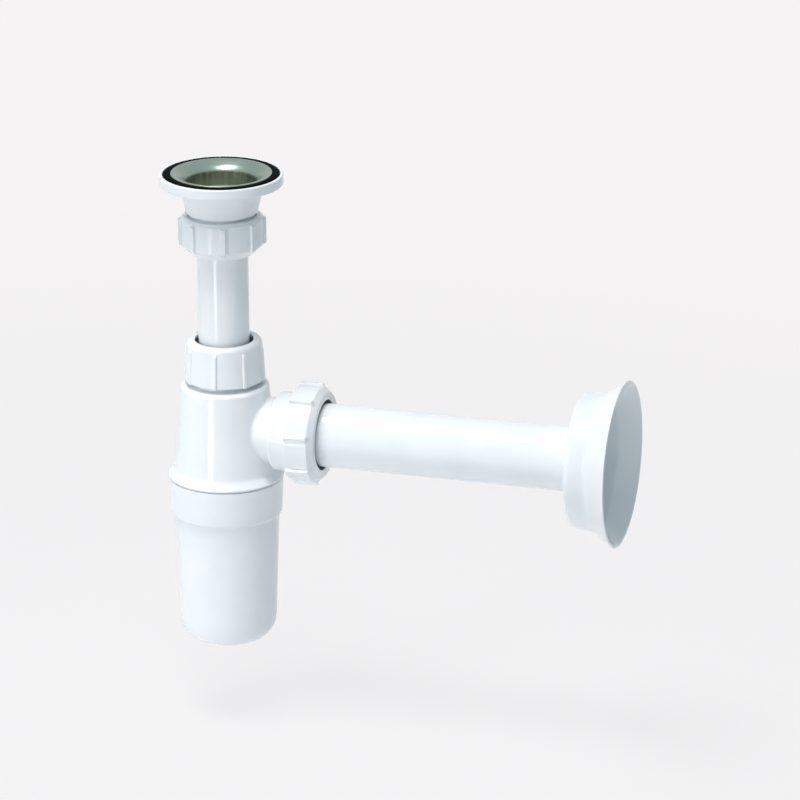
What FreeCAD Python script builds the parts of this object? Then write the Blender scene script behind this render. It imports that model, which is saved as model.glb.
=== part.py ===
import FreeCAD, Part
import math
import os
from types import SimpleNamespace

import Sketcher
from FreeCAD import Rotation, Vector

# Bottle trap for a washbasin: a basin waste, a height-adjustable inlet tube, a bottle with a screw-off
# cup, and a horizontal outlet tube with a wall rosette.
# The origin is the middle of the basin seat, on top of the gasket. The bottle hangs down along -Z and
# the outlet runs along +X. All sizes are in millimetres, and radii are given where a piece is turned.

SIZES = {
    # Gasket that seals the waste to the basin, stepped for the strainer's rim
    "gasket_ring": 4.4,
    "gasket_bevel": 1.2,
    "gasket_bevel_drop": 0.8,
    "gasket_thick": 2.6,
    "gasket_hole_gap": 0.3,
    # Pressed steel strainer and the screw that clamps it
    "strainer_radius": 31.5,
    "strainer_rim_gap": 0.3,
    "strainer_sink": 0.8,
    "strainer_sheet": 1.0,
    "strainer_land": 2.3,
    "strainer_mouth": 20.8,
    "strainer_dish": 4.0,
    "strainer_depth": 16.0,
    "strainer_lip_round": 9.0,
    "strainer_land_round": 5.0,
    "strainer_floor_round": 2.0,
    "drain_radius": 3.6,
    "drain_circle": 13.2,
    "drain_count": 8,
    "screw_radius": 2.5,
    "screw_clearance": 0.8,
    "screw_length": 33.2,
    "screw_head_radius": 5.5,
    "screw_head_height": 2.8,
    "screw_head_round": 1.4,
    "screw_slot_width": 1.2,
    "screw_slot_depth": 1.3,
    "insert_radius": 4.4,
    "insert_length": 9.0,
    "insert_thread_room": 0.7,
    "press_gap": 0.1,
    # Waste body: flange, funnel, neck and threaded tail
    "lip_gap": 0.3,
    "lip_width": 1.9,
    "lip_drop": 0.4,
    "flange_rim": 4.2,
    "flange_edge_round": 0.6,
    "flange_underside_fall": 2.0,
    "funnel_ledge": 1.1,
    "funnel_wall": 2.4,
    "funnel_waist_drop": 12.0,
    "bowl_side_gap": 0.7,
    "bowl_floor_gap": 1.8,
    "neck_radius": 22.4,
    "neck_drop": 22.2,
    "tail_root": 19.6,
    "tail_wall": 2.4,
    "tail_length": 15.2,
    "hub_radius": 6.8,
    "hub_drop": 6.0,
    "hub_height": 12.0,
    "spoke_width": 2.4,
    "spoke_height": 10.0,
    "spoke_count": 3,
    "washer_thick": 2.6,
    "washer_hole": 15.4,
    # Threads and gaps shared by every screwed joint
    "pipe_thread_depth": 1.35,
    "thread_gap": 0.3,
    "running_gap": 0.3,
    "rib_count": 8,
    "rib_root": 1.0,
    # Nut under the waste
    "waste_nut_wall": 4.35,
    "waste_nut_start": 2.0,
    "waste_nut_top_chamfer": 1.8,
    "waste_nut_taper": 5.5,
    "waste_nut_end_radius": 20.2,
    "waste_nut_end_wall": 4.8,
    "waste_rib_width": 3.4,
    "waste_rib_proud": 1.8,
    "waste_rib_end_gap": 0.6,
    "waste_rib_turn": 19.6,
    # Inlet tube
    "inlet_dia": 32.0,
    "inlet_wall": 1.8,
    "inlet_length": 120.0,
    "inlet_shown": 57.2,
    "inlet_collar_thick": 3.4,
    "collar_gap": 0.75,
    "tube_nut_gap": 1.0,
    # Nut, thrust ring and cone seal on the bottle's inlet
    "inlet_nut_wall_top": 2.55,
    "inlet_nut_wall_base": 3.95,
    "inlet_nut_height": 25.8,
    "inlet_nut_end_wall": 3.0,
    "inlet_nut_opening_gap": 2.4,
    "inlet_nut_round": 3.0,
    "inlet_rib_width": 2.4,
    "inlet_rib_proud": 1.0,
    "inlet_rib_start": 4.5,
    "inlet_rib_turn": 4.3,
    "thrust_ring_thick": 2.0,
    "thrust_ring_side_gap": 0.6,
    "seal_head": 1.5,
    "seal_length": 8.0,
    # Bottle body with its inlet spigot, dip tube, side branch and threaded skirt
    "spigot_root": 19.6,
    "spigot_length": 22.5,
    "spigot_mouth_wall": 0.7,
    "spigot_mouth_depth": 9.5,
    "socket_gap": 0.6,
    "body_top_radius": 27.9,
    "body_top_round": 3.0,
    "body_base_radius": 32.65,
    "body_height": 56.0,
    "body_wall": 2.6,
    "body_roof": 3.0,
    "dip_wall": 2.0,
    "dip_drop": 121.0,
    "skirt_flare": 4.0,
    "skirt_flare_round": 5.0,
    "skirt_flange_reach": 3.75,
    "skirt_flange_edge": 1.2,
    "skirt_inset": 0.65,
    "skirt_wall": 2.4,
    "skirt_length": 18.8,
    # Screw-off cup and its flat seal
    "cup_thread_depth": 1.0,
    "cup_joint_gap": 0.7,
    "cup_seal_thick": 2.4,
    "cup_seal_width": 3.2,
    "cup_band_wall": 2.8,
    "cup_band_taper": 0.7,
    "cup_band_height": 22.6,
    "cup_band_chamfer": 1.8,
    "cup_shoulder_step": 2.0,
    "cup_taper": 3.2,
    "cup_wall": 2.4,
    "cup_height": 109.4,
    "cup_base_round": 14.5,
    # Side branch, measured from the bottle's axis
    "outlet_drop": 165.8,
    "branch_root": 16.0,
    "branch_root_start": 12.0,
    "branch_flare": 21.5,
    "branch_collar_clear": 1.35,
    "branch_collar": 25.0,
    "branch_collar_round": 3.0,
    "branch_collar_length": 12.5,
    "branch_thread_root": 24.0,
    "branch_thread_length": 13.5,
    "branch_passage": 16.0,
    "branch_stop_depth": 2.0,
    "branch_mouth_wall": 1.1,
    "branch_mouth_depth": 10.0,
    "branch_thread_depth": 1.0,
    # Nut, thrust ring and cone seal on the outlet
    "outlet_nut_wall": 5.0,
    "outlet_nut_start": 0.5,
    "outlet_nut_back_chamfer": 0.8,
    "outlet_nut_end_wall": 3.0,
    "outlet_nut_taper": 3.5,
    "outlet_nut_end_radius": 27.0,
    "outlet_nut_opening_gap": 2.2,
    "outlet_rib_width": 2.6,
    "outlet_rib_proud": 2.0,
    "outlet_rib_turn": -14.0,
    "outlet_seal_head": 1.2,
    "outlet_seal_length": 7.7,
    "outlet_ring_thick": 1.8,
    # Outlet tube and wall rosette
    "outlet_dia": 40.0,
    "outlet_wall": 1.8,
    "outlet_stop_gap": 4.0,
    "outlet_length": 195.0,
    "rosette_overlap": 6.0,
    "rosette_wall": 1.8,
    "rosette_hole_gap": 0.4,
    "rosette_cup_radius": 42.0,
    "rosette_cup_taper": 1.0,
    "rosette_cup_length": 14.0,
    "rosette_back_round": 4.0,
    "rosette_rim_radius": 52.0,
    "rosette_depth": 28.3,
    "rosette_flare_round": 9.0,
}


class Length:
    """A size or a sum of sizes: its number, and the formula that ties it to the sheet of sizes."""

    def __init__(self, number, formula):
        self.number = number
        self.formula = formula

    @staticmethod
    def of(value):
        return value if isinstance(value, Length) else Length(float(value), repr(float(value)))

    def __add__(self, other):
        other = Length.of(other)
        return Length(self.number + other.number, f"({self.formula} + {other.formula})")

    def __sub__(self, other):
        other = Length.of(other)
        return Length(self.number - other.number, f"({self.formula} - {other.formula})")

    def __mul__(self, factor):
        factor = Length.of(factor)
        return Length(self.number * factor.number, f"({self.formula} * {factor.formula})")

    def __truediv__(self, factor):
        factor = Length.of(factor)
        return Length(self.number / factor.number, f"({self.formula} / {factor.formula})")

    def __neg__(self):
        return Length(-self.number, f"(-{self.formula})")


doc = FreeCAD.newDocument("bottle_trap")
sheet = doc.addObject("Spreadsheet::Sheet", "Sizes")
for row, (name, number) in enumerate(SIZES.items(), start=1):
    sheet.set(f"A{row}", name)
    sheet.set(f"B{row}", str(number))
    sheet.setAlias(f"B{row}", name)
doc.recompute()
S = SimpleNamespace(**{name: Length(float(sheet.get(name)), f"Sizes.{name}") for name in SIZES})
ORIGIN = Length.of(0)
SAME_PLACE = 1e-4


def new_body(label):
    """Empty body for one sub-part, named after its node."""
    body = doc.addObject("PartDesign::Body", label)
    body.Label = label
    return body


def plane_of(body, role):
    """One of the body's own origin planes."""
    return next(item for item in body.Origin.OriginFeatures if item.Role == role)


def new_sketch(body, name, role, height=None):
    """Sketch on an origin plane, moved along the plane's normal by a height where one is given."""
    sketch = body.newObject("Sketcher::SketchObject", f"{body.Label}_{name}")
    sketch.AttachmentSupport = [(plane_of(body, role), "")]
    sketch.MapMode = "FlatFace"
    if height is not None:
        sketch.setExpression("AttachmentOffset.Base.z", height.formula)
    return sketch


def tie_point(sketch, geometry, point, across, up):
    """Hold a sketch point at its two distances from the sketch's origin."""
    for kind, place in (("DistanceX", across), ("DistanceY", up)):
        place = Length.of(place)
        index = sketch.addConstraint(Sketcher.Constraint(kind, -1, 1, geometry, point, place.number))
        sketch.setExpression(f"Constraints[{index}]", place.formula)


def draw_loop(sketch, corners):
    """Closed loop of straight sides through corners given as (across, up)."""
    corners = [(Length.of(across), Length.of(up)) for across, up in corners]
    points = [Vector(across.number, up.number, 0) for across, up in corners]
    sides = [Part.LineSegment(a, b) for a, b in zip(points, points[1:] + points[:1])]
    first = sketch.addGeometry(sides, False)[0]
    count = len(sides)
    for i in range(count):
        following = first + (i + 1) % count
        sketch.addConstraint(Sketcher.Constraint("Coincident", first + i, 2, following, 1))
    for i, (across, up) in enumerate(corners):
        tie_point(sketch, first + i, 1, across, up)


def draw_circle(sketch, across, up, radius):
    """Circle with its centre at (across, up)."""
    across, up = Length.of(across), Length.of(up)
    centre = Vector(across.number, up.number, 0)
    index = sketch.addGeometry(Part.Circle(centre, Vector(0, 0, 1), radius.number), False)
    tie_point(sketch, index, 3, across, up)
    ring = sketch.addConstraint(Sketcher.Constraint("Radius", index, radius.number))
    sketch.setExpression(f"Constraints[{ring}]", radius.formula)


def turn(body, name, corners, kind="Revolution", along="Z"):
    """Turned solid, or turned cut, of a closed section drawn in the XZ plane about Z or X.

    A corner is (radius, height) about Z, and (place along the axis, radius) about X.
    """
    sketch = new_sketch(body, f"{name}_section", "XZ_Plane")
    draw_loop(sketch, corners)
    feature = body.newObject(f"PartDesign::{kind}", f"{body.Label}_{name}")
    feature.Profile = sketch
    feature.ReferenceAxis = (sketch, ["V_Axis" if along == "Z" else "H_Axis"])
    feature.Angle = 360
    doc.recompute()
    return feature


def rims(feature, spots, along="Z"):
    """Names of the round edges at the given (radius, place along the axis) spots."""
    names = []
    for radius, place in spots:
        radius, place = Length.of(radius).number, Length.of(place).number
        for i, edge in enumerate(feature.Shape.Edges, start=1):
            if not isinstance(edge.Curve, Part.Circle):
                continue
            centre = edge.Curve.Center
            at = centre.z if along == "Z" else centre.x
            if abs(edge.Curve.Radius - radius) < SAME_PLACE and abs(at - place) < SAME_PLACE:
                names.append(f"Edge{i}")
    return names


def round_off(body, name, feature, edges, radius):
    """Fillet of the named edges of a feature."""
    if not edges:
        raise ValueError(f"{body.Label}: no edge to round for {name}")
    fillet = body.newObject("PartDesign::Fillet", f"{body.Label}_{name}")
    fillet.Base = (feature, edges)
    fillet.setExpression("Radius", radius.formula)
    doc.recompute()
    return fillet


def pad(body, name, sketch, length, midplane=False, reverse=False):
    """Extrusion of a sketch, one way or to both sides."""
    feature = body.newObject("PartDesign::Pad", f"{body.Label}_{name}")
    feature.Profile = sketch
    feature.setExpression("Length", length.formula)
    feature.SideType = "Symmetric" if midplane else "One side"
    feature.Reversed = reverse
    doc.recompute()
    return feature


def pocket(body, name, sketch, length, midplane=False, reverse=False):
    """Cut of a sketch, which must take material away."""
    before = body.Shape.Volume
    feature = body.newObject("PartDesign::Pocket", f"{body.Label}_{name}")
    feature.Profile = sketch
    feature.setExpression("Length", length.formula)
    feature.SideType = "Symmetric" if midplane else "One side"
    feature.Reversed = reverse
    doc.recompute()
    if body.Shape.Volume >= before:
        raise ValueError(f"{body.Label}: {name} cuts nothing")
    return feature


def repeat(body, name, feature, count, role="Z_Axis"):
    """Even copies of a feature round one of the body's axes."""
    pattern = body.newObject("PartDesign::PolarPattern", f"{body.Label}_{name}")
    pattern.Originals = [feature]
    pattern.Axis = (plane_of(body, role), [""])
    pattern.Angle = 360
    pattern.setExpression("Occurrences", count.formula)
    body.Tip = pattern
    doc.recompute()
    return pattern


def grip_ribs(body, corners, width, along="Z"):
    """Grip ribs round a nut: one rib's section in the XZ plane, padded to both sides and repeated."""
    sketch = new_sketch(body, "rib_section", "XZ_Plane")
    draw_loop(sketch, corners)
    rib = pad(body, "rib", sketch, width, midplane=True)
    repeat(body, "ribs", rib, S.rib_count, f"{along}_Axis")


def place_on_outlet(body):
    """Lift a piece drawn along X to the outlet's axis."""
    body.setExpression("Placement.Base.z", outlet_axis.formula)


def turn_round(body, axis, angle):
    """Turn a nut about its own axis, so that its ribs stand as they were left."""
    body.Placement.Rotation = Rotation(axis, angle.number)
    body.setExpression("Placement.Rotation.Angle", angle.formula)


# Heights down the bottle's axis
seat = ORIGIN
flange_top = seat - S.gasket_thick
flange_base = flange_top - S.flange_rim
neck_base = flange_top - S.neck_drop
tail_end = neck_base - S.tail_length
collar_top = tail_end - S.washer_thick
collar_base = collar_top - S.inlet_collar_thick
waste_nut_top = neck_base - S.waste_nut_start
waste_nut_end = collar_base - S.waste_nut_end_wall
inlet_nut_top = waste_nut_end - S.inlet_shown
inlet_ring_top = inlet_nut_top - S.inlet_nut_end_wall
inlet_ring_base = inlet_ring_top - S.thrust_ring_thick
inlet_nut_base = inlet_nut_top - S.inlet_nut_height
spigot_top = inlet_ring_base - S.seal_head
body_top = spigot_top - S.spigot_length
body_base = body_top - S.body_height
skirt_flange_top = body_base - S.skirt_flare
skirt_flange_base = skirt_flange_top - S.skirt_flange_edge
skirt_end = skirt_flange_base - S.skirt_length
cup_ledge = skirt_end - S.cup_seal_thick
cup_top = skirt_flange_base - S.cup_joint_gap
cup_base = cup_top - S.cup_height
outlet_axis = -S.outlet_drop
strainer_base = seat - S.strainer_sink
strainer_top = strainer_base + S.strainer_sheet
strainer_floor = strainer_top - S.strainer_depth
bowl_base = strainer_floor - S.strainer_sheet - S.bowl_floor_gap
hub_top = bowl_base - S.hub_drop
hub_base = hub_top - S.hub_height

# Radii shared by pieces that fit together
strainer_land = S.strainer_radius - S.strainer_land
gasket_hole = strainer_land + S.gasket_hole_gap
gasket_step = S.strainer_radius + S.strainer_rim_gap
gasket_radius = gasket_step + S.gasket_ring
lip_bore = gasket_radius + S.lip_gap
flange_radius = lip_bore + S.lip_width
bowl_radius = S.strainer_mouth + S.strainer_sheet + S.bowl_side_gap
inlet_radius = S.inlet_dia / 2
outlet_radius = S.outlet_dia / 2
tail_bore = S.tail_root - S.tail_wall
waste_nut_bore = S.tail_root + S.pipe_thread_depth + S.thread_gap
collar_radius = waste_nut_bore - S.collar_gap
inlet_nut_bore = S.spigot_root + S.pipe_thread_depth + S.thread_gap
socket_bore = inlet_radius + S.socket_gap
dip_radius = socket_bore + S.dip_wall
spigot_mouth = S.spigot_root - S.spigot_mouth_wall
skirt_flange_radius = S.body_base_radius + S.skirt_flange_reach
skirt_root = S.body_base_radius - S.skirt_inset
cup_bore = skirt_root + S.cup_thread_depth + S.thread_gap
cup_band_radius = cup_bore + S.cup_band_wall
cup_band_low = cup_band_radius - S.cup_band_taper
cup_shoulder_radius = cup_band_low - S.cup_shoulder_step
cup_base_radius = cup_shoulder_radius - S.cup_taper
outlet_nut_bore = S.branch_thread_root + S.branch_thread_depth + S.thread_gap
branch_socket = outlet_radius + S.socket_gap
branch_mouth = S.branch_thread_root - S.branch_mouth_wall

# Places along the outlet, from the bottle's axis
collar_start = S.body_base_radius + S.branch_collar_clear
collar_end = collar_start + S.branch_collar_length
branch_stop = collar_start + S.branch_stop_depth
branch_end = collar_end + S.branch_thread_length
outlet_ring_back = branch_end + S.outlet_seal_head
outlet_ring_front = outlet_ring_back + S.outlet_ring_thick
outlet_nut_back = collar_end + S.outlet_nut_start
outlet_nut_end = outlet_ring_front + S.outlet_nut_end_wall
outlet_start = branch_stop + S.outlet_stop_gap
outlet_end = outlet_start + S.outlet_length
rosette_back = outlet_end - S.rosette_overlap


def basin_gasket():
    """Rubber ring with a step that the strainer's rim lies in, and a bevelled outer edge."""
    body = new_body("basin_gasket")
    turn(body, "ring", [
        (gasket_hole, strainer_base),
        (gasket_step, strainer_base),
        (gasket_step, seat),
        (gasket_radius - S.gasket_bevel, seat),
        (gasket_radius, seat - S.gasket_bevel_drop),
        (gasket_radius, flange_top),
        (gasket_hole, flange_top),
    ])
    return body


def strainer_cup():
    """Pressed steel cup: a flange on the seat, a bell mouth, and a floor with drain holes."""
    body = new_body("strainer_cup")
    outer_wall = S.strainer_mouth + S.strainer_sheet
    lip = strainer_base - S.strainer_dish
    lip_outer = lip - S.strainer_sheet / 2
    floor_under = strainer_floor - S.strainer_sheet
    screw_hole = S.screw_radius + S.screw_clearance
    cup = turn(body, "sheet", [
        (S.strainer_radius, strainer_base),
        (S.strainer_radius, strainer_top),
        (strainer_land, strainer_top),
        (S.strainer_mouth, lip),
        (S.strainer_mouth, strainer_floor),
        (screw_hole, strainer_floor),
        (screw_hole, floor_under),
        (outer_wall, floor_under),
        (outer_wall, lip_outer),
        (strainer_land, strainer_base),
    ])
    lips = rims(cup, [(S.strainer_mouth, lip)])
    cup = round_off(body, "lip", cup, lips, S.strainer_lip_round)
    under_lip = rims(cup, [(outer_wall, lip_outer)])
    cup = round_off(body, "under_lip", cup, under_lip, S.strainer_lip_round - S.strainer_sheet)
    brow = rims(cup, [(strainer_land, strainer_top)])
    cup = round_off(body, "brow", cup, brow, S.strainer_land_round)
    corner = rims(cup, [(S.strainer_mouth, strainer_floor)])
    cup = round_off(body, "floor_corner", cup, corner, S.strainer_floor_round)
    outer_corner = rims(cup, [(outer_wall, floor_under)])
    cup = round_off(body, "outer_corner", cup, outer_corner, S.strainer_floor_round + S.strainer_sheet)
    rim = rims(cup, [(S.strainer_radius, strainer_top)])
    round_off(body, "rim", cup, rim, S.strainer_sheet * 0.8)
    sketch = new_sketch(body, "drain_circle", "XY_Plane", strainer_floor)
    draw_circle(sketch, S.drain_circle, 0, S.drain_radius)
    drain = pocket(body, "drain", sketch, S.strainer_sheet * 2)
    repeat(body, "drains", drain, S.drain_count)
    return body


def clamp_screw():
    """Slotted screw that stands on the strainer's floor and pulls it down on the insert."""
    body = new_body("clamp_screw")
    head_top = strainer_floor + S.screw_head_height
    tip = strainer_floor - S.screw_length
    shank = turn(body, "turned", [
        (0, head_top),
        (S.screw_head_radius, head_top),
        (S.screw_head_radius, strainer_floor),
        (S.screw_radius, strainer_floor),
        (S.screw_radius, tip),
        (0, tip),
    ])
    crown = rims(shank, [(S.screw_head_radius, head_top)])
    round_off(body, "head_round", shank, crown, S.screw_head_round)
    half_slot = S.screw_slot_width / 2
    half_length = S.screw_head_radius * 1.1
    sketch = new_sketch(body, "slot_outline", "XY_Plane", head_top)
    draw_loop(sketch, [
        (-half_length, -half_slot),
        (half_length, -half_slot),
        (half_length, half_slot),
        (-half_length, half_slot),
    ])
    pocket(body, "slot", sketch, S.screw_slot_depth)
    return body


def insert_nut():
    """Brass threaded insert held in the hub of the waste body."""
    body = new_body("insert_nut")
    bore = S.screw_radius + S.insert_thread_room
    turn(body, "sleeve", [
        (bore, hub_base + S.insert_length),
        (S.insert_radius, hub_base + S.insert_length),
        (S.insert_radius, hub_base),
        (bore, hub_base),
    ])
    return body


def waste_body():
    """Moulded basin waste: lipped flange, funnel, neck and tail, with a spoked hub for the insert."""
    body = new_body("waste_body")
    waist = flange_top - S.funnel_waist_drop
    underside = flange_base - S.flange_underside_fall
    waist_radius = bowl_radius + S.funnel_wall
    lip_top = seat - S.lip_drop
    shell = turn(body, "shell", [
        (gasket_hole - S.funnel_ledge, flange_top),
        (lip_bore, flange_top),
        (lip_bore, lip_top),
        (flange_radius, lip_top),
        (flange_radius, flange_base),
        (waist_radius + S.funnel_wall, underside),
        (waist_radius, waist),
        (S.neck_radius, neck_base),
        (S.tail_root, neck_base),
        (S.tail_root, tail_end),
        (tail_bore, tail_end),
        (tail_bore, neck_base - S.tail_wall),
        (bowl_radius, bowl_base),
        (bowl_radius, underside),
    ])
    edges = rims(shell, [(flange_radius, lip_top), (flange_radius, flange_base)])
    round_off(body, "flange_edges", shell, edges, S.flange_edge_round)
    hub = new_sketch(body, "hub_outline", "XY_Plane", hub_base)
    draw_circle(hub, 0, 0, S.hub_radius)
    pad(body, "hub", hub, S.hub_height)
    arm = new_sketch(body, "spoke_outline", "XY_Plane", hub_base)
    half_spoke = S.spoke_width / 2
    spoke_reach = tail_bore + S.tail_wall / 3
    draw_loop(arm, [
        (0, -half_spoke),
        (spoke_reach, -half_spoke),
        (spoke_reach, half_spoke),
        (0, half_spoke),
    ])
    spoke = pad(body, "spoke", arm, S.spoke_height)
    repeat(body, "spokes", spoke, S.spoke_count)
    seat_hole = new_sketch(body, "insert_hole", "XY_Plane", hub_base)
    draw_circle(seat_hole, 0, 0, S.insert_radius + S.press_gap)
    pocket(body, "insert_seat", seat_hole, S.insert_length, reverse=True)
    screw_hole = new_sketch(body, "screw_hole", "XY_Plane", hub_base)
    draw_circle(screw_hole, 0, 0, S.screw_radius + S.screw_clearance)
    pocket(body, "screw_way", screw_hole, S.hub_height, reverse=True)
    return body


def waste_washer():
    """Flat seal between the waste's tail and the inlet tube's collar."""
    body = new_body("waste_washer")
    turn(body, "ring", [
        (S.washer_hole, tail_end),
        (collar_radius, tail_end),
        (collar_radius, collar_top),
        (S.washer_hole, collar_top),
    ])
    return body


def inlet_pipe():
    """Inlet tube with a moulded collar at its top."""
    body = new_body("inlet_pipe")
    bore = inlet_radius - S.inlet_wall
    foot = collar_top - S.inlet_length
    turn(body, "tube", [
        (bore, collar_top),
        (collar_radius, collar_top),
        (collar_radius, collar_base),
        (inlet_radius, collar_base),
        (inlet_radius, foot),
        (bore, foot),
    ])
    return body


def waste_nut():
    """Ribbed nut that draws the inlet tube's collar up to the waste, with its closed end down."""
    body = new_body("waste_nut")
    outer = waste_nut_bore + S.waste_nut_wall
    taper_top = waste_nut_end + S.waste_nut_taper
    opening = inlet_radius + S.tube_nut_gap
    rib_outer = outer + S.waste_rib_proud
    rib_inner = outer - S.rib_root
    rib_top = waste_nut_top - S.waste_nut_top_chamfer - S.waste_rib_end_gap
    turn(body, "shell", [
        (waste_nut_bore, waste_nut_top),
        (outer - S.waste_nut_top_chamfer, waste_nut_top),
        (outer, waste_nut_top - S.waste_nut_top_chamfer),
        (outer, taper_top),
        (S.waste_nut_end_radius, waste_nut_end),
        (opening, waste_nut_end),
        (opening, collar_base),
        (waste_nut_bore, collar_base),
    ])
    grip_ribs(body, [
        (rib_inner, rib_top),
        (rib_outer - S.waste_rib_proud / 2, rib_top),
        (rib_outer, rib_top - S.waste_rib_proud / 2),
        (rib_outer, taper_top),
        (rib_inner, taper_top),
    ], S.waste_rib_width)
    turn_round(body, Vector(0, 0, 1), S.waste_rib_turn)
    return body


def inlet_nut():
    """Ribbed nut on the bottle's inlet, with its closed, rounded end up."""
    body = new_body("inlet_nut")
    outer_top = inlet_nut_bore + S.inlet_nut_wall_top
    outer_base = inlet_nut_bore + S.inlet_nut_wall_base
    opening = inlet_radius + S.inlet_nut_opening_gap
    rib_top = inlet_nut_top - S.inlet_rib_start
    shell = turn(body, "shell", [
        (inlet_nut_bore, inlet_nut_base),
        (outer_base, inlet_nut_base),
        (outer_top, inlet_nut_top),
        (opening, inlet_nut_top),
        (opening, inlet_ring_top),
        (inlet_nut_bore, inlet_ring_top),
    ])
    crown = rims(shell, [(outer_top, inlet_nut_top)])
    round_off(body, "crown", shell, crown, S.inlet_nut_round)
    grip_ribs(body, [
        (outer_top - S.rib_root, rib_top),
        (outer_top + S.inlet_rib_proud, rib_top),
        (outer_base + S.inlet_rib_proud, inlet_nut_base),
        (outer_top - S.rib_root, inlet_nut_base),
    ], S.inlet_rib_width)
    turn_round(body, Vector(0, 0, 1), S.inlet_rib_turn)
    return body


def inlet_thrust_ring():
    """Flat slip ring between the inlet nut and its seal."""
    body = new_body("inlet_thrust_ring")
    inner = inlet_radius + S.running_gap
    outer = inlet_nut_bore - S.thrust_ring_side_gap
    turn(body, "ring", [
        (inner, inlet_ring_top),
        (outer, inlet_ring_top),
        (outer, inlet_ring_base),
        (inner, inlet_ring_base),
    ])
    return body


def inlet_cone_seal():
    """Tapered rubber ring that the inlet nut squeezes into the spigot's mouth."""
    body = new_body("inlet_cone_seal")
    inner = inlet_radius + S.running_gap
    slope = (spigot_mouth - socket_bore) / S.spigot_mouth_depth
    head = spigot_mouth - S.running_gap
    turn(body, "ring", [
        (inner, inlet_ring_base),
        (head, inlet_ring_base),
        (head, spigot_top),
        (head - slope * S.seal_length, spigot_top - S.seal_length),
        (inner, spigot_top - S.seal_length),
    ])
    return body


def trap_body():
    """Moulded bottle body: inlet spigot, dip tube, tapered wall, side branch and threaded skirt."""
    body = new_body("trap_body")
    cavity_top = body_top - S.body_roof
    past_end = skirt_end - S.skirt_wall
    shell = turn(body, "shell", [
        (0, spigot_top),
        (S.spigot_root, spigot_top),
        (S.spigot_root, body_top),
        (S.body_top_radius, body_top),
        (S.body_base_radius, body_base),
        (skirt_flange_radius, skirt_flange_top),
        (skirt_flange_radius, skirt_flange_base),
        (skirt_root, skirt_flange_base),
        (skirt_root, skirt_end),
        (0, skirt_end),
    ])
    shoulder = rims(shell, [(S.body_top_radius, body_top)])
    shell = round_off(body, "shoulder", shell, shoulder, S.body_top_round)
    flare = rims(shell, [(S.body_base_radius, body_base)])
    round_off(body, "flare", shell, flare, S.skirt_flare_round)
    branch = branch_feature(body, "branch", "Revolution", [
        (S.branch_root_start, 0),
        (S.branch_root_start, S.branch_root),
        (collar_start, S.branch_flare),
        (collar_start, S.branch_collar),
        (collar_end, S.branch_collar),
        (collar_end, S.branch_thread_root),
        (branch_end, S.branch_thread_root),
        (branch_end, 0),
    ])
    collar = rims(branch, [(S.branch_collar, collar_start)], "X")
    round_off(body, "collar_edge", branch, collar, S.branch_collar_round)
    turn(body, "cavity", [
        (0, cavity_top),
        (S.body_top_radius - S.body_wall, cavity_top),
        (skirt_root - S.skirt_wall, body_base),
        (skirt_root - S.skirt_wall, past_end),
        (0, past_end),
    ], "Groove")
    turn(body, "inlet_bore", [
        (0, spigot_top),
        (spigot_mouth, spigot_top),
        (socket_bore, spigot_top - S.spigot_mouth_depth),
        (socket_bore, cavity_top - S.body_roof),
        (0, cavity_top - S.body_roof),
    ], "Groove")
    branch_feature(body, "branch_bore", "Groove", [
        (0, 0),
        (0, S.branch_passage),
        (branch_stop, S.branch_passage),
        (branch_stop, branch_socket),
        (branch_end - S.branch_mouth_depth, branch_socket),
        (branch_end, branch_mouth),
        (branch_end, 0),
    ])
    turn(body, "dip_tube", [
        (socket_bore, body_top - S.body_roof / 2),
        (dip_radius, body_top - S.body_roof / 2),
        (dip_radius, body_top - S.dip_drop),
        (socket_bore, body_top - S.dip_drop),
    ])
    return body


def branch_feature(body, name, kind, corners):
    """Turned solid or cut about the outlet's axis, from a section drawn as (along, radius)."""
    sketch = new_sketch(body, f"{name}_section", "XZ_Plane")
    sketch.setExpression("AttachmentOffset.Base.y", outlet_axis.formula)
    draw_loop(sketch, corners)
    feature = body.newObject(f"PartDesign::{kind}", f"{body.Label}_{name}")
    feature.Profile = sketch
    feature.ReferenceAxis = (sketch, ["H_Axis"])
    feature.Angle = 360
    doc.recompute()
    return feature


def cup_seal():
    """Flat ring between the skirt's end and the cup's ledge."""
    body = new_body("cup_seal")
    outer = cup_bore - S.running_gap
    hole = outer - S.cup_seal_width
    turn(body, "ring", [
        (hole, skirt_end),
        (outer, skirt_end),
        (outer, cup_ledge),
        (hole, cup_ledge),
    ])
    return body


def bottle_cup():
    """Screw-off cup: a threaded band, a shoulder and a tapered wall with a round bottom."""
    body = new_body("bottle_cup")
    band_base = cup_top - S.cup_band_height
    shoulder = band_base - S.cup_band_chamfer
    floor_top = cup_base + S.cup_wall
    inner_base = cup_base_radius - S.cup_wall
    inner_top = cup_shoulder_radius - S.cup_wall
    cup = turn(body, "shell", [
        (cup_bore, cup_top),
        (cup_band_radius, cup_top),
        (cup_band_low, band_base),
        (cup_shoulder_radius, shoulder),
        (cup_base_radius, cup_base),
        (0, cup_base),
        (0, floor_top),
        (inner_base, floor_top),
        (inner_top, cup_ledge),
        (cup_bore, cup_ledge),
    ])
    outer_corner = rims(cup, [(cup_base_radius, cup_base)])
    cup = round_off(body, "base_round", cup, outer_corner, S.cup_base_round)
    inner_corner = rims(cup, [(inner_base, floor_top)])
    round_off(body, "floor_round", cup, inner_corner, S.cup_base_round - S.cup_wall)
    return body


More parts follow.
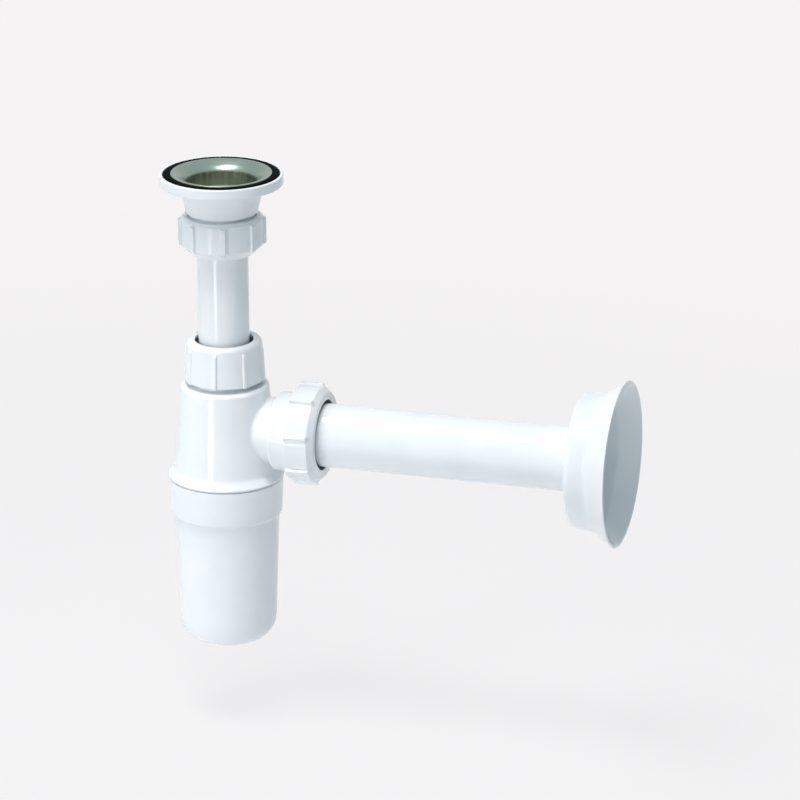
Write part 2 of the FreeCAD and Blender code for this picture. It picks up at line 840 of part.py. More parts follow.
def outlet_nut():
    """Ribbed nut on the branch, with its closed, chamfered end towards the wall."""
    body = new_body("outlet_nut")
    outer = outlet_nut_bore + S.outlet_nut_wall
    taper_start = outlet_nut_end - S.outlet_nut_taper
    opening = outlet_radius + S.outlet_nut_opening_gap
    rib_inner = outer - S.rib_root
    rib_outer = outer + S.outlet_rib_proud
    turn(body, "shell", [
        (outlet_nut_back, outlet_nut_bore),
        (outlet_nut_back, outer - S.outlet_nut_back_chamfer),
        (outlet_nut_back + S.outlet_nut_back_chamfer, outer),
        (taper_start, outer),
        (outlet_nut_end, S.outlet_nut_end_radius),
        (outlet_nut_end, opening),
        (outlet_ring_front, opening),
        (outlet_ring_front, outlet_nut_bore),
    ], along="X")
    grip_ribs(body, [
        (outlet_nut_back + S.outlet_nut_back_chamfer, rib_inner),
        (outlet_nut_back + S.outlet_nut_back_chamfer, rib_outer),
        (taper_start - S.outlet_rib_proud / 2, rib_outer),
        (taper_start, rib_outer - S.outlet_rib_proud / 2),
        (taper_start, rib_inner),
    ], S.outlet_rib_width, "X")
    place_on_outlet(body)
    turn_round(body, Vector(1, 0, 0), S.outlet_rib_turn)
    return body


def outlet_thrust_ring():
    """Flat slip ring between the outlet nut and its seal."""
    body = new_body("outlet_thrust_ring")
    inner = outlet_radius + S.running_gap
    outer = outlet_nut_bore - S.thrust_ring_side_gap
    turn(body, "ring", [
        (outlet_ring_back, inner),
        (outlet_ring_back, outer),
        (outlet_ring_front, outer),
        (outlet_ring_front, inner),
    ], along="X")
    place_on_outlet(body)
    return body


def outlet_cone_seal():
    """Tapered rubber ring that the outlet nut squeezes into the branch's mouth."""
    body = new_body("outlet_cone_seal")
    inner = outlet_radius + S.running_gap
    slope = (branch_mouth - branch_socket) / S.branch_mouth_depth
    head = branch_mouth - S.running_gap
    tip = branch_end - S.outlet_seal_length
    turn(body, "ring", [
        (outlet_ring_back, inner),
        (outlet_ring_back, head),
        (branch_end, head),
        (tip, head - slope * S.outlet_seal_length),
        (tip, inner),
    ], along="X")
    place_on_outlet(body)
    return body


def outlet_pipe():
    """Plain outlet tube, pushed into the branch."""
    body = new_body("outlet_pipe")
    bore = outlet_radius - S.outlet_wall
    turn(body, "tube", [
        (outlet_start, bore),
        (outlet_start, outlet_radius),
        (outlet_end, outlet_radius),
        (outlet_end, bore),
    ], along="X")
    place_on_outlet(body)
    return body


def wall_rosette():
    """Bell-shaped cover that slides on the outlet tube and hides the hole in the wall."""
    body = new_body("wall_rosette")
    hole = outlet_radius + S.rosette_hole_gap
    cup_end = rosette_back + S.rosette_cup_length
    rim = rosette_back + S.rosette_depth
    mouth = S.rosette_cup_radius + S.rosette_cup_taper
    inner_back = rosette_back + S.rosette_wall
    bell = turn(body, "shell", [
        (rosette_back, hole),
        (rosette_back, S.rosette_cup_radius),
        (cup_end, mouth),
        (rim, S.rosette_rim_radius),
        (rim, S.rosette_rim_radius - S.rosette_wall),
        (cup_end + S.rosette_wall, mouth - S.rosette_wall),
        (inner_back, S.rosette_cup_radius - S.rosette_wall),
        (inner_back, hole),
    ], along="X")
    back = rims(bell, [(S.rosette_cup_radius, rosette_back)], "X")
    bell = round_off(body, "back_round", bell, back, S.rosette_back_round)
    inside = rims(bell, [(S.rosette_cup_radius - S.rosette_wall, inner_back)], "X")
    bell = round_off(body, "inner_round", bell, inside, S.rosette_back_round - S.rosette_wall)
    flare = rims(bell, [(mouth, cup_end)], "X")
    round_off(body, "flare", bell, flare, S.rosette_flare_round)
    place_on_outlet(body)
    return body


PIECES = [
    basin_gasket, strainer_cup, clamp_screw, insert_nut, waste_body, waste_washer, waste_nut,
    inlet_pipe, inlet_nut, inlet_thrust_ring, inlet_cone_seal, trap_body, cup_seal, bottle_cup,
    outlet_nut, outlet_thrust_ring, outlet_cone_seal, outlet_pipe, wall_rosette,
]
bodies = [make() for make in PIECES]
doc.recompute()

for item in doc.Objects:
    if {"Invalid", "Error"} & set(item.State):
        raise RuntimeError(f"{item.Label} failed: {item.State}")
for body in bodies:
    if body.Shape.isNull() or not body.Shape.isValid():
        raise RuntimeError(f"{body.Label} has no sound shape")

os.makedirs("parts", exist_ok=True)
for body in bodies:
    body.Shape.exportStep(f"parts/{body.Label}.step")
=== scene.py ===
import math
from collections import namedtuple

import bmesh
import bpy
import numpy as np
from mathutils import Matrix, Vector


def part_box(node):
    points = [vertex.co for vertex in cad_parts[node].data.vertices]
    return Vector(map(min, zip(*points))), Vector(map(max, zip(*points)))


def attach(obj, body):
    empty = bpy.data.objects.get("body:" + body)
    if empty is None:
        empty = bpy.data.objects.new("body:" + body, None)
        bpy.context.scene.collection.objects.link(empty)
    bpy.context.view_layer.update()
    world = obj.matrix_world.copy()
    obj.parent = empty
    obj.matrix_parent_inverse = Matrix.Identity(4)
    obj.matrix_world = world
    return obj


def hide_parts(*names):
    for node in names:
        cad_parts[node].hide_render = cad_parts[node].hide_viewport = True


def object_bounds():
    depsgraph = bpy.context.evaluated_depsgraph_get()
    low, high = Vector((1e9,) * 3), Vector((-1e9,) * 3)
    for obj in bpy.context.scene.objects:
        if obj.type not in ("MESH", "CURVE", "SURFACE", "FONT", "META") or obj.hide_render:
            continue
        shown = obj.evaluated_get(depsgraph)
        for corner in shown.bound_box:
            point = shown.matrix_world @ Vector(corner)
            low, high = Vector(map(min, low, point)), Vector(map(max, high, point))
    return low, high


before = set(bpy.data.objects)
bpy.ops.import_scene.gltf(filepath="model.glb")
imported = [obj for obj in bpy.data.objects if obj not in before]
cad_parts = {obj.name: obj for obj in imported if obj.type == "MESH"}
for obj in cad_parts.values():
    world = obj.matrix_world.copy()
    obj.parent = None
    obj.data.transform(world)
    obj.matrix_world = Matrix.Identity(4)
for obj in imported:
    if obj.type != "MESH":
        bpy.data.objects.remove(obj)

CAD_BOX = [list(corner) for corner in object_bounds()]

bl_info = {
    "name": "Bottle trap",
    "version": (1, 0, 0),
    "blender": (4, 5, 0),
    "location": "3D View > Sidebar > Bottle trap",
    "description": "Builds a basin waste and bottle trap round its packed frame, with finishes and a studio",
    "category": "Object",
}

# Shapes are worked out in millimetres and put into the meshes in metres.
MM = 0.001
TURN = 2 * math.pi
OUTLET_HEIGHT = sum(corner.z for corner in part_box("outlet_pipe")) / 2 / MM
FLOOR_DROP = 53.0
# Points that fall into one cell of this size are merged.
WELD = 1.7e-5
# The longest step round a corner, and the angle from which an edge stays sharp.
ARC_STEP = math.radians(11.5)
SHARP_ANGLE = math.radians(33)
# Columns round a plain turned piece.
COLUMNS = 144
# A thread's ridge, in shares of its pitch: half its width at the foot, and the width of a flank.
RIDGE_FOOT, RIDGE_FLANK = 0.37, 0.24
# How far an inner thread is turned, in pitches, so that it runs between the ridges of the outer one.
INNER_SHIFT = 0.5
# Columns of a rib's flank, in widths of its edge, and the steps from one rib to the next.
RIB_FLANK = np.array([-1.0, -0.62, -0.36, -0.12, 0.12, 0.36, 0.62, 1.0, 1.6])
RIB_GAP_STEPS = 6
# The rays that see the plain background and not the studio's fill.
SHOWN_TO = ("Camera", "Glossy", "Transmission")


# Properties that a user would change

def length(name, description, millimetres):
    """A length in metres, given in millimetres."""
    return bpy.props.FloatProperty(
        name=name, description=description, default=millimetres * MM, min=0, unit="LENGTH", precision=5)


def tint(name, description, colour):
    """A linear colour."""
    return bpy.props.FloatVectorProperty(
        name=name, description=description, default=colour, size=3, min=0, max=1, subtype="COLOR")


def turn_angle(name, description, degrees):
    """An angle in radians, given in degrees."""
    return bpy.props.FloatProperty(
        name=name, description=description, default=math.radians(degrees), subtype="ANGLE")


def amount(name, description, value, top=1.0):
    """A plain number."""
    return bpy.props.FloatProperty(name=name, description=description, default=value, min=0, max=top)


class TrapThreads(bpy.types.PropertyGroup):
    """Right-hand threads of the union nuts, the cup and the clamp screw."""
    pipe_pitch: length("Union pitch", "Rise in one turn of the union nuts' threads", 2.309)
    pipe_depth: length("Union depth", "Height of the ridge on the tail and on the inlet spigot", 1.35)
    branch_depth: length("Branch depth", "Height of the ridge on the side branch", 1.0)
    cup_pitch: length("Cup pitch", "Rise in one turn of the cup's thread", 4.0)
    cup_depth: length("Cup depth", "Height of the ridge on the bottle's skirt", 1.0)
    inner_depth: length("Inner depth", "Height of the ridges inside the nuts and the cup", 0.6)
    screw_pitch: length("Screw pitch", "Rise in one turn of the clamp screw", 1.0)
    screw_depth: length("Screw depth", "Height of the clamp screw's ridge", 0.42)


class TrapGrips(bpy.types.PropertyGroup):
    """Grip ribs of the three union nuts."""
    rib_count: bpy.props.IntProperty(name="Ribs", description="Ribs round each nut", default=8, min=3, max=24)
    rib_edge: length("Rib edge", "Width over which a rib's flank rises", 0.55)
    waste_turn: turn_angle("Upper nut turn", "How far the nut under the waste is turned", 19.6)
    inlet_turn: turn_angle("Inlet nut turn", "How far the bottle's inlet nut is turned", 4.3)
    outlet_turn: turn_angle("Outlet nut turn", "How far the outlet nut is turned", -14.0)


class TrapColours(bpy.types.PropertyGroup):
    """Colours of the finishes."""
    white: tint("White", "Moulded white plastic", (0.86, 0.875, 0.90))
    white_shade: tint("White, cooler", "The shade that drifts through the plastic", (0.83, 0.855, 0.885))
    # The slip rings' blue-black is their own black plastic and also painted shade: it stands for the shade in
    # the nuts' mouths.
    ring: tint("Slip ring", "Black plastic of the thrust rings", (0.005, 0.006, 0.012))
    steel: tint("Steel", "Polished pressing", (0.26, 0.34, 0.30))
    # Painted reflection and shade: the dark band below the strainer's mouth and the olive wall and floor
    # below it stand for the dark inside that the steel reflects and the shade in it.
    steel_painted_dark_band: tint("Steel, below the mouth", "Dark band where the mouth turns down", (0.058, 0.074, 0.050))
    steel_painted_inside_shade: tint("Steel, inside", "Duller foot and floor of the strainer", (0.32, 0.375, 0.28))
    brass: tint("Brass", "Turned insert", (0.62, 0.44, 0.16))
    gasket: tint("Gasket", "Black rubber", (0.003, 0.005, 0.0045))
    seal: tint("Seal", "Dark grey rubber", (0.045, 0.046, 0.05))


class TrapStage(bpy.types.PropertyGroup):
    """Camera, light and floor."""
    azimuth: turn_angle("Camera azimuth", "Turn of the camera round the part, from -Y towards +X", 16.6)
    elevation: turn_angle("Camera elevation", "Height of the camera above the horizon", 19.6)
    roll: turn_angle("Camera roll", "Turn of the camera about its own axis", 0.18)
    distance: length("Camera distance", "From the basin seat to the camera's plane", 2610)
    slide_right: length("Camera right", "Sideways place of the camera", 109.9)
    slide_down: length("Camera down", "How far the camera sits below the seat's sight line", 140.8)
    focal: amount("Lens", "Focal length in millimetres on a 36 mm sensor", 190.35, 400)
    backdrop: tint("Background", "Colour of the floor and of what lies behind", (0.913, 0.896, 0.905))
    sky: tint("Fill", "Soft light from all round", (0.735, 0.925, 1.0))
    floor_glow: amount("Floor glow", "How bright the floor looks where no shadow falls on it", 1.0, 4)
    sky_strength: amount("Fill strength", "Strength of the light from all round", 0.475, 4)
    sky_fall: amount("Fill fall-off", "How much the fill fades towards the camera's right", 0.33)
    key_power: amount("Key", "Watts of the gridded softbox at the left", 0.35, 400)
    catch_power: amount("Catch light", "Watts of the panel for the bright line down the bottle", 0.2, 400)
    top_power: amount("Top", "Watts of the softbox overhead", 17.5, 400)


# Surfaces

def smooth(t):
    """0 below 0 and 1 above 1, with an even S between them: t t (3 - 2 t)."""
    t = np.clip(t, 0.0, 1.0)
    return t * t * (3 - 2 * t)


def outline(corners, closed=True):
    """Line through (across, along, round, rows) corners, as points and as the corner that each belongs to.

    A round corner is an arc that touches both its sides: it starts where round times the tangent of half the
    turn is left before the corner, and swings about the point that is one round away from both sides. rows
    is how many steps the side after the corner is divided into. Points between corners k and k + 1 belong to
    k + 0.5.
    """
    full = [tuple(corner) + (0.0, 1)[len(corner) - 2:] for corner in corners]
    spots = [np.array(corner[:2], float) for corner in full]
    arcs = []
    for k, (_, _, rounding, _) in enumerate(full):
        at_end = not closed and k in (0, len(full) - 1)
        here, before, after = spots[k], spots[k - 1], spots[(k + 1) % len(full)]
        if at_end or not rounding:
            arcs.append(here[None])
            continue
        back, on = before - here, after - here
        back, on = back / np.linalg.norm(back), on / np.linalg.norm(on)
        half = math.acos(np.clip(back @ on, -1, 1)) / 2
        centre = here + (back + on) / np.linalg.norm(back + on) * rounding / math.sin(half)
        first = here + back * rounding / math.tan(half) - centre
        last = here + on * rounding / math.tan(half) - centre
        sweep = math.pi - 2 * half
        t = np.linspace(0, 1, max(3, math.ceil(sweep / ARC_STEP) + 1))[:, None]
        arcs.append(centre + (np.sin((1 - t) * sweep) * first + np.sin(t * sweep) * last) / math.sin(sweep))
    points, owners = [], []
    for k, arc in enumerate(arcs):
        points.append(arc)
        owners.append(np.full(len(arc), float(k)))
        if closed or k < len(arcs) - 1:
            rows = full[k][3]
            t = (np.arange(1, rows) / rows)[:, None]
            points.append(arc[-1] * (1 - t) + arcs[(k + 1) % len(arcs)][0] * t)
            owners.append(np.full(rows - 1, k + 0.5))
    return np.vstack(points), np.concatenate(owners)


def even_angles(count=COLUMNS):
    """Angles of even columns, from half a turn back."""
    return np.arange(count) / count * TURN - math.pi


def about_bottle(radius, height, angles):
    """Points at a radius and a height, carried round the bottle's axis."""
    radius, height, angles = np.broadcast_arrays(radius, height, angles)
    return np.stack([radius * np.cos(angles), radius * np.sin(angles), height], -1)


def about_outlet(radius, along, angles):
    """Points at a radius and a place along the outlet, carried round the outlet's axis from +Y to +Z."""
    radius, along, angles = np.broadcast_arrays(radius, along, angles)
    return np.stack([along, radius * np.cos(angles), OUTLET_HEIGHT + radius * np.sin(angles)], -1)


def extent(node, about=about_bottle):
    """Outer radius of a turned node and its two ends along its axis, in millimetres, from the frame."""
    low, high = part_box(node)
    if about is about_outlet:
        sizes = high.z / MM - OUTLET_HEIGHT, low.x / MM, high.x / MM
    else:
        sizes = high.x / MM, low.z / MM, high.z / MM
    return [round(size, 2) for size in sizes]


def thread(place, angles, start, end, pitch, shift=0.0):
    """Height from 0 to 1 of a right-hand ridge: its crest climbs a pitch in a turn and runs out at both ends.

    The phase is place / pitch - angle / turn, and the crest is an S on both sides of the phase's middle.
    """
    phase = np.mod(place / pitch - angles / TURN + shift, 1.0)
    crest = smooth((RIDGE_FOOT - np.abs(phase - 0.5)) / RIDGE_FLANK)
    return crest * smooth((place - start) / pitch) * smooth((end - place) / pitch)


def rib_angles(count, turn, radius, width, edge):
    """Columns of a ribbed nut: close together over each rib's flanks and wide apart between the ribs."""
    half = width / 2
    flank = half + edge * RIB_FLANK
    one = np.concatenate([-flank[::-1], [-half / 2, 0.0, half / 2], flank]) / radius
    gap = TURN / count
    between = np.linspace(one[-1], gap + one[0], RIB_GAP_STEPS + 1)[1:-1]
    turns = np.arange(count)[:, None] * gap
    return (turns + np.concatenate([one, between])[None]).ravel() + turn


def rib_height(angles, count, turn, radius, width, edge):
    """Height from 0 to 1 of the ribs: an S over each flank, by the way round the nut to the nearest rib."""
    gap = TURN / count
    away = np.abs(np.mod(angles - turn + gap / 2, gap) - gap / 2) * radius
    return smooth((width / 2 + edge / 2 - away) / edge)


class Surface:
    """Grids of points that together make one piece."""

    def __init__(self):
        self.points = []
        self.faces = []
        self.count = 0

    def add(self, grid, wrap_rows=False, wrap_columns=True, leave_out=None):
        """Quads between the neighbours in a grid of points, which is joined end to end where it wraps."""
        rows, columns = grid.shape[:2]
        index = np.arange(rows * columns).reshape(rows, columns) + self.count
        index = np.vstack([index, index[:1]]) if wrap_rows else index
        index = np.hstack([index, index[:, :1]]) if wrap_columns else index
        quads = np.stack([index[:-1, :-1], index[:-1, 1:], index[1:, 1:], index[1:, :-1]], -1)
        self.faces.append(quads.reshape(-1, 4) if leave_out is None else quads[~leave_out])
        self.points.append(grid.reshape(-1, 3))
        self.count += rows * columns

    def turned(self, corners, columns=COLUMNS, closed=True, about=about_bottle):
        """A plain turned form: an outline carried round an axis."""
        line, _ = outline(corners, closed)
        self.add(about(line[:, :1], line[:, 1:], even_angles(columns)), wrap_rows=closed)
        return self

    def repeated(self, x, y, z, count):
        """A grid of points, repeated at even turns about the bottle's axis."""
        for turn in np.arange(count) / count * TURN:
            turned_x = x * math.cos(turn) - y * math.sin(turn)
            turned_y = x * math.sin(turn) + y * math.cos(turn)
            self.add(np.stack(np.broadcast_arrays(turned_x, turned_y, z), -1))

    def mesh(self, name, closed=True):
        """One mesh: points that meet are merged, and a closed piece has no open edge left."""
        points, faces = np.vstack(self.points), np.vstack(self.faces)
        cells = np.round(points / WELD).astype(np.int64)
        _, first, where = np.unique(cells, axis=0, return_index=True, return_inverse=True)
        faces = where.ravel()[faces]
        repeated = faces == np.roll(faces, -1, axis=1)
        quads = faces[~repeated.any(axis=1)]
        slim = repeated.sum(axis=1) == 1
        triangles = faces[slim][~repeated[slim]].reshape(-1, 3)
        loops = np.concatenate([quads.ravel(), triangles.ravel()])
        starts = np.concatenate([np.arange(len(quads)) * 4, quads.size + np.arange(len(triangles)) * 3])
        mesh = bpy.data.meshes.new(name)
        mesh.vertices.add(len(first))
        mesh.vertices.foreach_set("co", (points[first] * MM).astype(np.float32).ravel())
        mesh.loops.add(len(loops))
        mesh.loops.foreach_set("vertex_index", loops.astype(np.int32))
        mesh.polygons.add(len(starts))
        mesh.polygons.foreach_set("loop_start", starts.astype(np.int32))
        mesh.update(calc_edges=True)
        work = bmesh.new()
        work.from_mesh(mesh)
        loose = sum(not edge.is_manifold for edge in work.edges)
        bmesh.ops.recalc_face_normals(work, faces=work.faces[:])
        work.to_mesh(mesh)
        work.free()
        if closed and loose:
            raise RuntimeError(f"{name}: {loose} edges are open")
        mesh.shade_smooth()
        mesh.set_sharp_from_angle(angle=SHARP_ANGLE)
        return mesh

    def piece(self, name, finish, body, slot, *nodes):
        """The finished object: it rides on a body, takes a finish and stands for its CAD nodes."""
        obj = bpy.data.objects.new(name, self.mesh(name))
        bpy.context.scene.collection.objects.link(obj)
        obj.data.materials.append(finish)
        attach(obj, body)
        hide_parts(*nodes)


# Finishes

class Value:
    """A socket in a node tree: expressions on it add Math nodes."""

    def __init__(self, nodes, socket):
        self.nodes = nodes
        self.socket = socket

    def math(self, operation, *values):
        """One Math node."""
        return self.nodes.node("ShaderNodeMath", {"operation": operation}, dict(enumerate(values)))

    def __add__(self, other):
        return self.math("ADD", self, other)

    def __sub__(self, other):
        return self.math("SUBTRACT", self, other)

    def __rsub__(self, other):
        return self.math("SUBTRACT", other, self)

    def __mul__(self, other):
        return self.math("MULTIPLY", self, other)

    __radd__ = __add__
    __rmul__ = __mul__

    def root(self):
        """The square root."""
        return self.math("SQRT", self)

    def clipped(self, low, high):
        """0 below low, 1 above high, and an even S between them."""
        return self.nodes.node(
            "ShaderNodeMapRange", {"interpolation_type": "SMOOTHSTEP", "clamp": True},
            {"Value": self, "From Min": low, "From Max": high})


class Nodes:
    """A node tree under construction, with its output."""

    def __init__(self, tree, output):
        tree.nodes.clear()
        self.tree = tree
        self.output = tree.nodes.new(output)

    def node(self, kind, settings=None, inputs=None, output=0):
        """One node: its settings, then the values or links of its sockets; returns one of its outputs."""
        made = self.tree.nodes.new(kind)
        for name, value in (settings or {}).items():
            setattr(made, name, value)
        for name, value in (inputs or {}).items():
            self.feed(made.inputs[name], value)
        return Value(self, made.outputs[output])

    def feed(self, socket, value):
        """A link where the value comes from a node, and otherwise a plain number, vector or colour."""
        if isinstance(value, Value):
            self.tree.links.new(value.socket, socket)
        elif socket.type == "RGBA":
            socket.default_value = (*value, 1.0)
        else:
            socket.default_value = value

    def show(self, shader):
        """Puts a shader out."""
        self.feed(self.output.inputs["Surface"], shader)

    def backed(self, lit, plain, share=1.0):
        """One shader for rays that light the part, and a share of another for rays that see behind it."""
        seen = sum(self.node("ShaderNodeLightPath", output=f"Is {kind} Ray") for kind in SHOWN_TO)
        return self.node("ShaderNodeMixShader", None, {0: seen * share, 1: lit, 2: plain})


class Finish(Nodes):
    """A material under construction, with Object coordinates in metres and a Principled shader."""

    def __init__(self, name):
        self.material = bpy.data.materials.new(name)
        self.material.use_nodes = True
        super().__init__(self.material.node_tree, "ShaderNodeOutputMaterial")
        self.place = self.node("ShaderNodeTexCoord", output="Object")
        self.shader = self.node("ShaderNodeBsdfPrincipled")
        self.show(self.shader)

    def made(self, **sockets):
        """The material, with the shader's own sockets set, whose names are written with underscores."""
        for name, value in sockets.items():
            self.feed(self.shader.socket.node.inputs[name.replace("_", " ")], value)
        return self.material

    def axes(self):
        """The x, y and z of the place."""
        split = self.node("ShaderNodeSeparateXYZ", None, {"Vector": self.place}).socket.node
        return [Value(self, socket) for socket in split.outputs]

    def noise(self, scale, detail=2.0, roughness=0.5, place=None):
        """Noise from 0 to 1, with scale features in a metre: one number, or one for each axis."""
        place = place or self.place
        if isinstance(scale, tuple):
            place = self.node(
                "ShaderNodeMapping", {"vector_type": "POINT"}, {"Vector": place, "Scale": scale})
            scale = 1.0
        inputs = {"Vector": place, "Scale": scale, "Detail": detail, "Roughness": roughness}
        return self.node("ShaderNodeTexNoise", None, inputs, "Fac")

    def blend(self, factor, first, second):
        """A colour between two, by a factor."""
        return self.node("ShaderNodeMix", {"data_type": "RGBA"}, {0: factor, 6: first, 7: second}, 2)

    def bump(self, height, distance, strength):
        """A surface normal tilted by a height, where 1 stands for the distance in millimetres."""
        return self.node(
            "ShaderNodeBump", None, {"Height": height, "Distance": distance * MM, "Strength": strength})


def white_plastic(name, colours, drawn=None, peel=1.0):
    """Gloss white plastic: a cool drift in the white, uneven gloss, a fine peel, and draw lines on tubes."""
    finish = Finish(name)
    drift = finish.noise(38.0, 3.0)
    cloud = finish.noise(140.0, 4.0, 0.6)
    height = finish.noise(620.0, 2.0, 0.45) * 0.7 + finish.noise(2600.0, 1.0) * 0.18
    if drawn:
        height = height + finish.noise(drawn, 3.0, 0.65) * 0.9
    return finish.made(
        Base_Color=finish.blend(drift.clipped(0.32, 0.68), colours.white, colours.white_shade),
        Roughness=0.07 + cloud * 0.07 + drift * 0.04,
        IOR=1.5,
        Normal=finish.bump(height, 0.02 * peel, 0.5),
    )


def polished_steel(name, colours):
    """Pressed steel: fine rings from polishing, a painted dark reflection band where the mouth turns down,
    and a duller wall below it with painted shade and draw marks."""
    finish = Finish(name)
    x, y, z = finish.axes()
    across = finish.node("ShaderNodeCombineXYZ", None, {0: (x * x + y * y).root(), 1: z * 0.6})
    rings = finish.noise(2400.0, 2.0, 0.7, across)
    marks = finish.noise((380.0, 380.0, 22.0), 3.0, 0.6)
    smear = finish.noise(120.0, 4.0, 0.6)
    # Painted reflection and shade: below the mouth the colour darkens to a band and then to an olive wall and
    # floor, standing for the dark inside that the steel reflects. The same mask also roughens the wall and
    # carries its draw marks.
    deep = 1.0 - z.clipped(-6.4 * MM, -4.1 * MM)
    foot = (1.0 - z.clipped(-12.0 * MM, -6.2 * MM)) * 0.8 + marks.clipped(0.34, 0.66) * 0.2
    # wall is the painted shade of the inside: the dark reflection band blending into the olive floor.
    wall = finish.blend(foot, colours.steel_painted_dark_band, colours.steel_painted_inside_shade)
    painted_shade_mask = (deep * 0.9 + smear * 0.12).clipped(0.05, 0.95)
    return finish.made(
        Base_Color=finish.blend(painted_shade_mask, colours.steel, wall),
        Metallic=1.0,
        Roughness=0.20 + rings * 0.10 + smear * 0.08 + deep * 0.25,
        Normal=finish.bump(rings * 0.6 + marks * deep * 0.8, 0.03, 0.35),
    )


def turned_brass(name, colours):
    """Turned brass: fine rings, and a dull film that breaks up."""
    finish = Finish(name)
    rings = finish.noise((30.0, 30.0, 2600.0))
    film = finish.noise(420.0, 4.0, 0.6)
    return finish.made(
        Base_Color=finish.blend(film.clipped(0.35, 0.75), colours.brass, [0.6 * c for c in colours.brass]),
        Metallic=1.0,
        Roughness=0.24 + film * 0.25,
        Normal=finish.bump(rings, 0.03, 0.4),
    )


def soft_rubber(name, colour, gloss):
    """Moulded rubber: near-black with a dusty bloom, an uneven sheen and a fine grain."""
    finish = Finish(name)
    bloom = finish.noise(95.0, 4.0, 0.6)
    grain = finish.noise(2200.0, 3.0, 0.6)
    return finish.made(
        Base_Color=finish.blend(bloom.clipped(0.45, 0.85) * 0.5, colour, [2.2 * c + 0.004 for c in colour]),
        Roughness=gloss + bloom * 0.16,
        Specular_IOR_Level=0.002,
        Normal=finish.bump(grain + bloom * 0.4, 0.05, 0.45),
    )


def slip_plastic(name, colours):
    """Matt black plastic of the slip rings, finely scuffed; its blue-black also stands for the shade in the
    nuts' mouths, as painted shade.
    """
    finish = Finish(name)
    scuff = finish.noise(700.0, 4.0, 0.65)
    return finish.made(
        Base_Color=finish.blend(scuff.clipped(0.3, 0.8), colours.ring, [1.6 * c for c in colours.ring]),
        Roughness=0.42 + scuff * 0.2,
        Specular_IOR_Level=0.08,
        Normal=finish.bump(scuff, 0.04, 0.4),
    )


# Pieces

class TRAP_OT_strainer(bpy.types.Operator):
    """Pressed steel strainer: a bell mouth on a flat land, and a floor with eight drain holes"""
    bl_idname = "trap.strainer"
    bl_label = "Strainer"

    land, mouth, lip, sheet, screw_hole = 29.2, 20.8, -4.8, 1.0, 3.3
    drain, drain_edge, rolled, drain_circle, drains = 3.6, 0.25, 0.2375, 13.2, 8
    ring_in, ring_out = 8.4, 17.9
    steps_round, steps_across, steps_out = 16, 12, 5

    def drain_holes(self, surface, floor, low):
        """The pierced ring of the floor: round each hole the points run evenly out from the hole's edge to
        the sides of its own sector, p = (1 - v) edge + v side, and a wall that is rolled over at both ends
        joins the two faces."""
        half = math.pi / self.drains
        arc = np.linspace(-half, half, self.steps_round + 1)
        reach = np.linspace(self.ring_in, self.ring_out, self.steps_across + 1)
        radius, angle = np.hstack([np.broadcast_arrays(*side) for side in (
            (self.ring_out, arc[:-1]), (reach[:0:-1], half),
            (self.ring_in, arc[:0:-1]), (reach[:-1], -half))])
        side = np.stack([radius * np.cos(angle), radius * np.sin(angle)], -1)
        middle = np.array([self.drain_circle, 0.0])
        away = (side - middle) / np.linalg.norm(side - middle, axis=1, keepdims=True)
        wide = self.drain + self.drain_edge
        v = np.linspace(0, 1, self.steps_out + 1)[:, None, None]
        flat = (1 - v) * (middle + wide * away) + v * side
        for height in (floor, low):
            surface.repeated(flat[..., 0], flat[..., 1], height, self.drains)
        wall, _ = outline([
            (wide, floor), (self.drain, floor, self.rolled, 2), (self.drain, low, self.rolled), (wide, low),
        ], closed=False)
        x, y = self.drain_circle + wall[:, :1] * away[:, 0], wall[:, :1] * away[:, 1]
        surface.repeated(x, y, wall[:, 1:], self.drains)

    def execute(self, context):
        rim, low, top = extent("strainer_cup")
        floor, base, outside = low + self.sheet, top - self.sheet, self.mouth + self.sheet
        columns = self.drains * self.steps_round
        surface = Surface()
        surface.turned([
            (self.ring_out, floor), (self.mouth, floor, 2.0, 4), (self.mouth, self.lip, 9.0, 4),
            (self.land, top, 6.0), (rim, top, 0.4), (rim, base, 0.15), (self.land, base, 7.0, 4),
            (outside, self.lip - self.sheet / 2, 8.0, 4), (outside, low, 3.0), (self.ring_out, low),
        ], columns, closed=False)
        surface.turned([
            (self.ring_in, floor), (self.screw_hole, floor, 0.2), (self.screw_hole, low, 0.2),
            (self.ring_in, low),
        ], columns, closed=False)
        self.drain_holes(surface, floor, low)
        steel = polished_steel("polished_steel", context.scene.trap_colours)
        surface.piece("strainer_pressing", steel, "strainer", "stainless_steel", "strainer_cup")
        return {"FINISHED"}


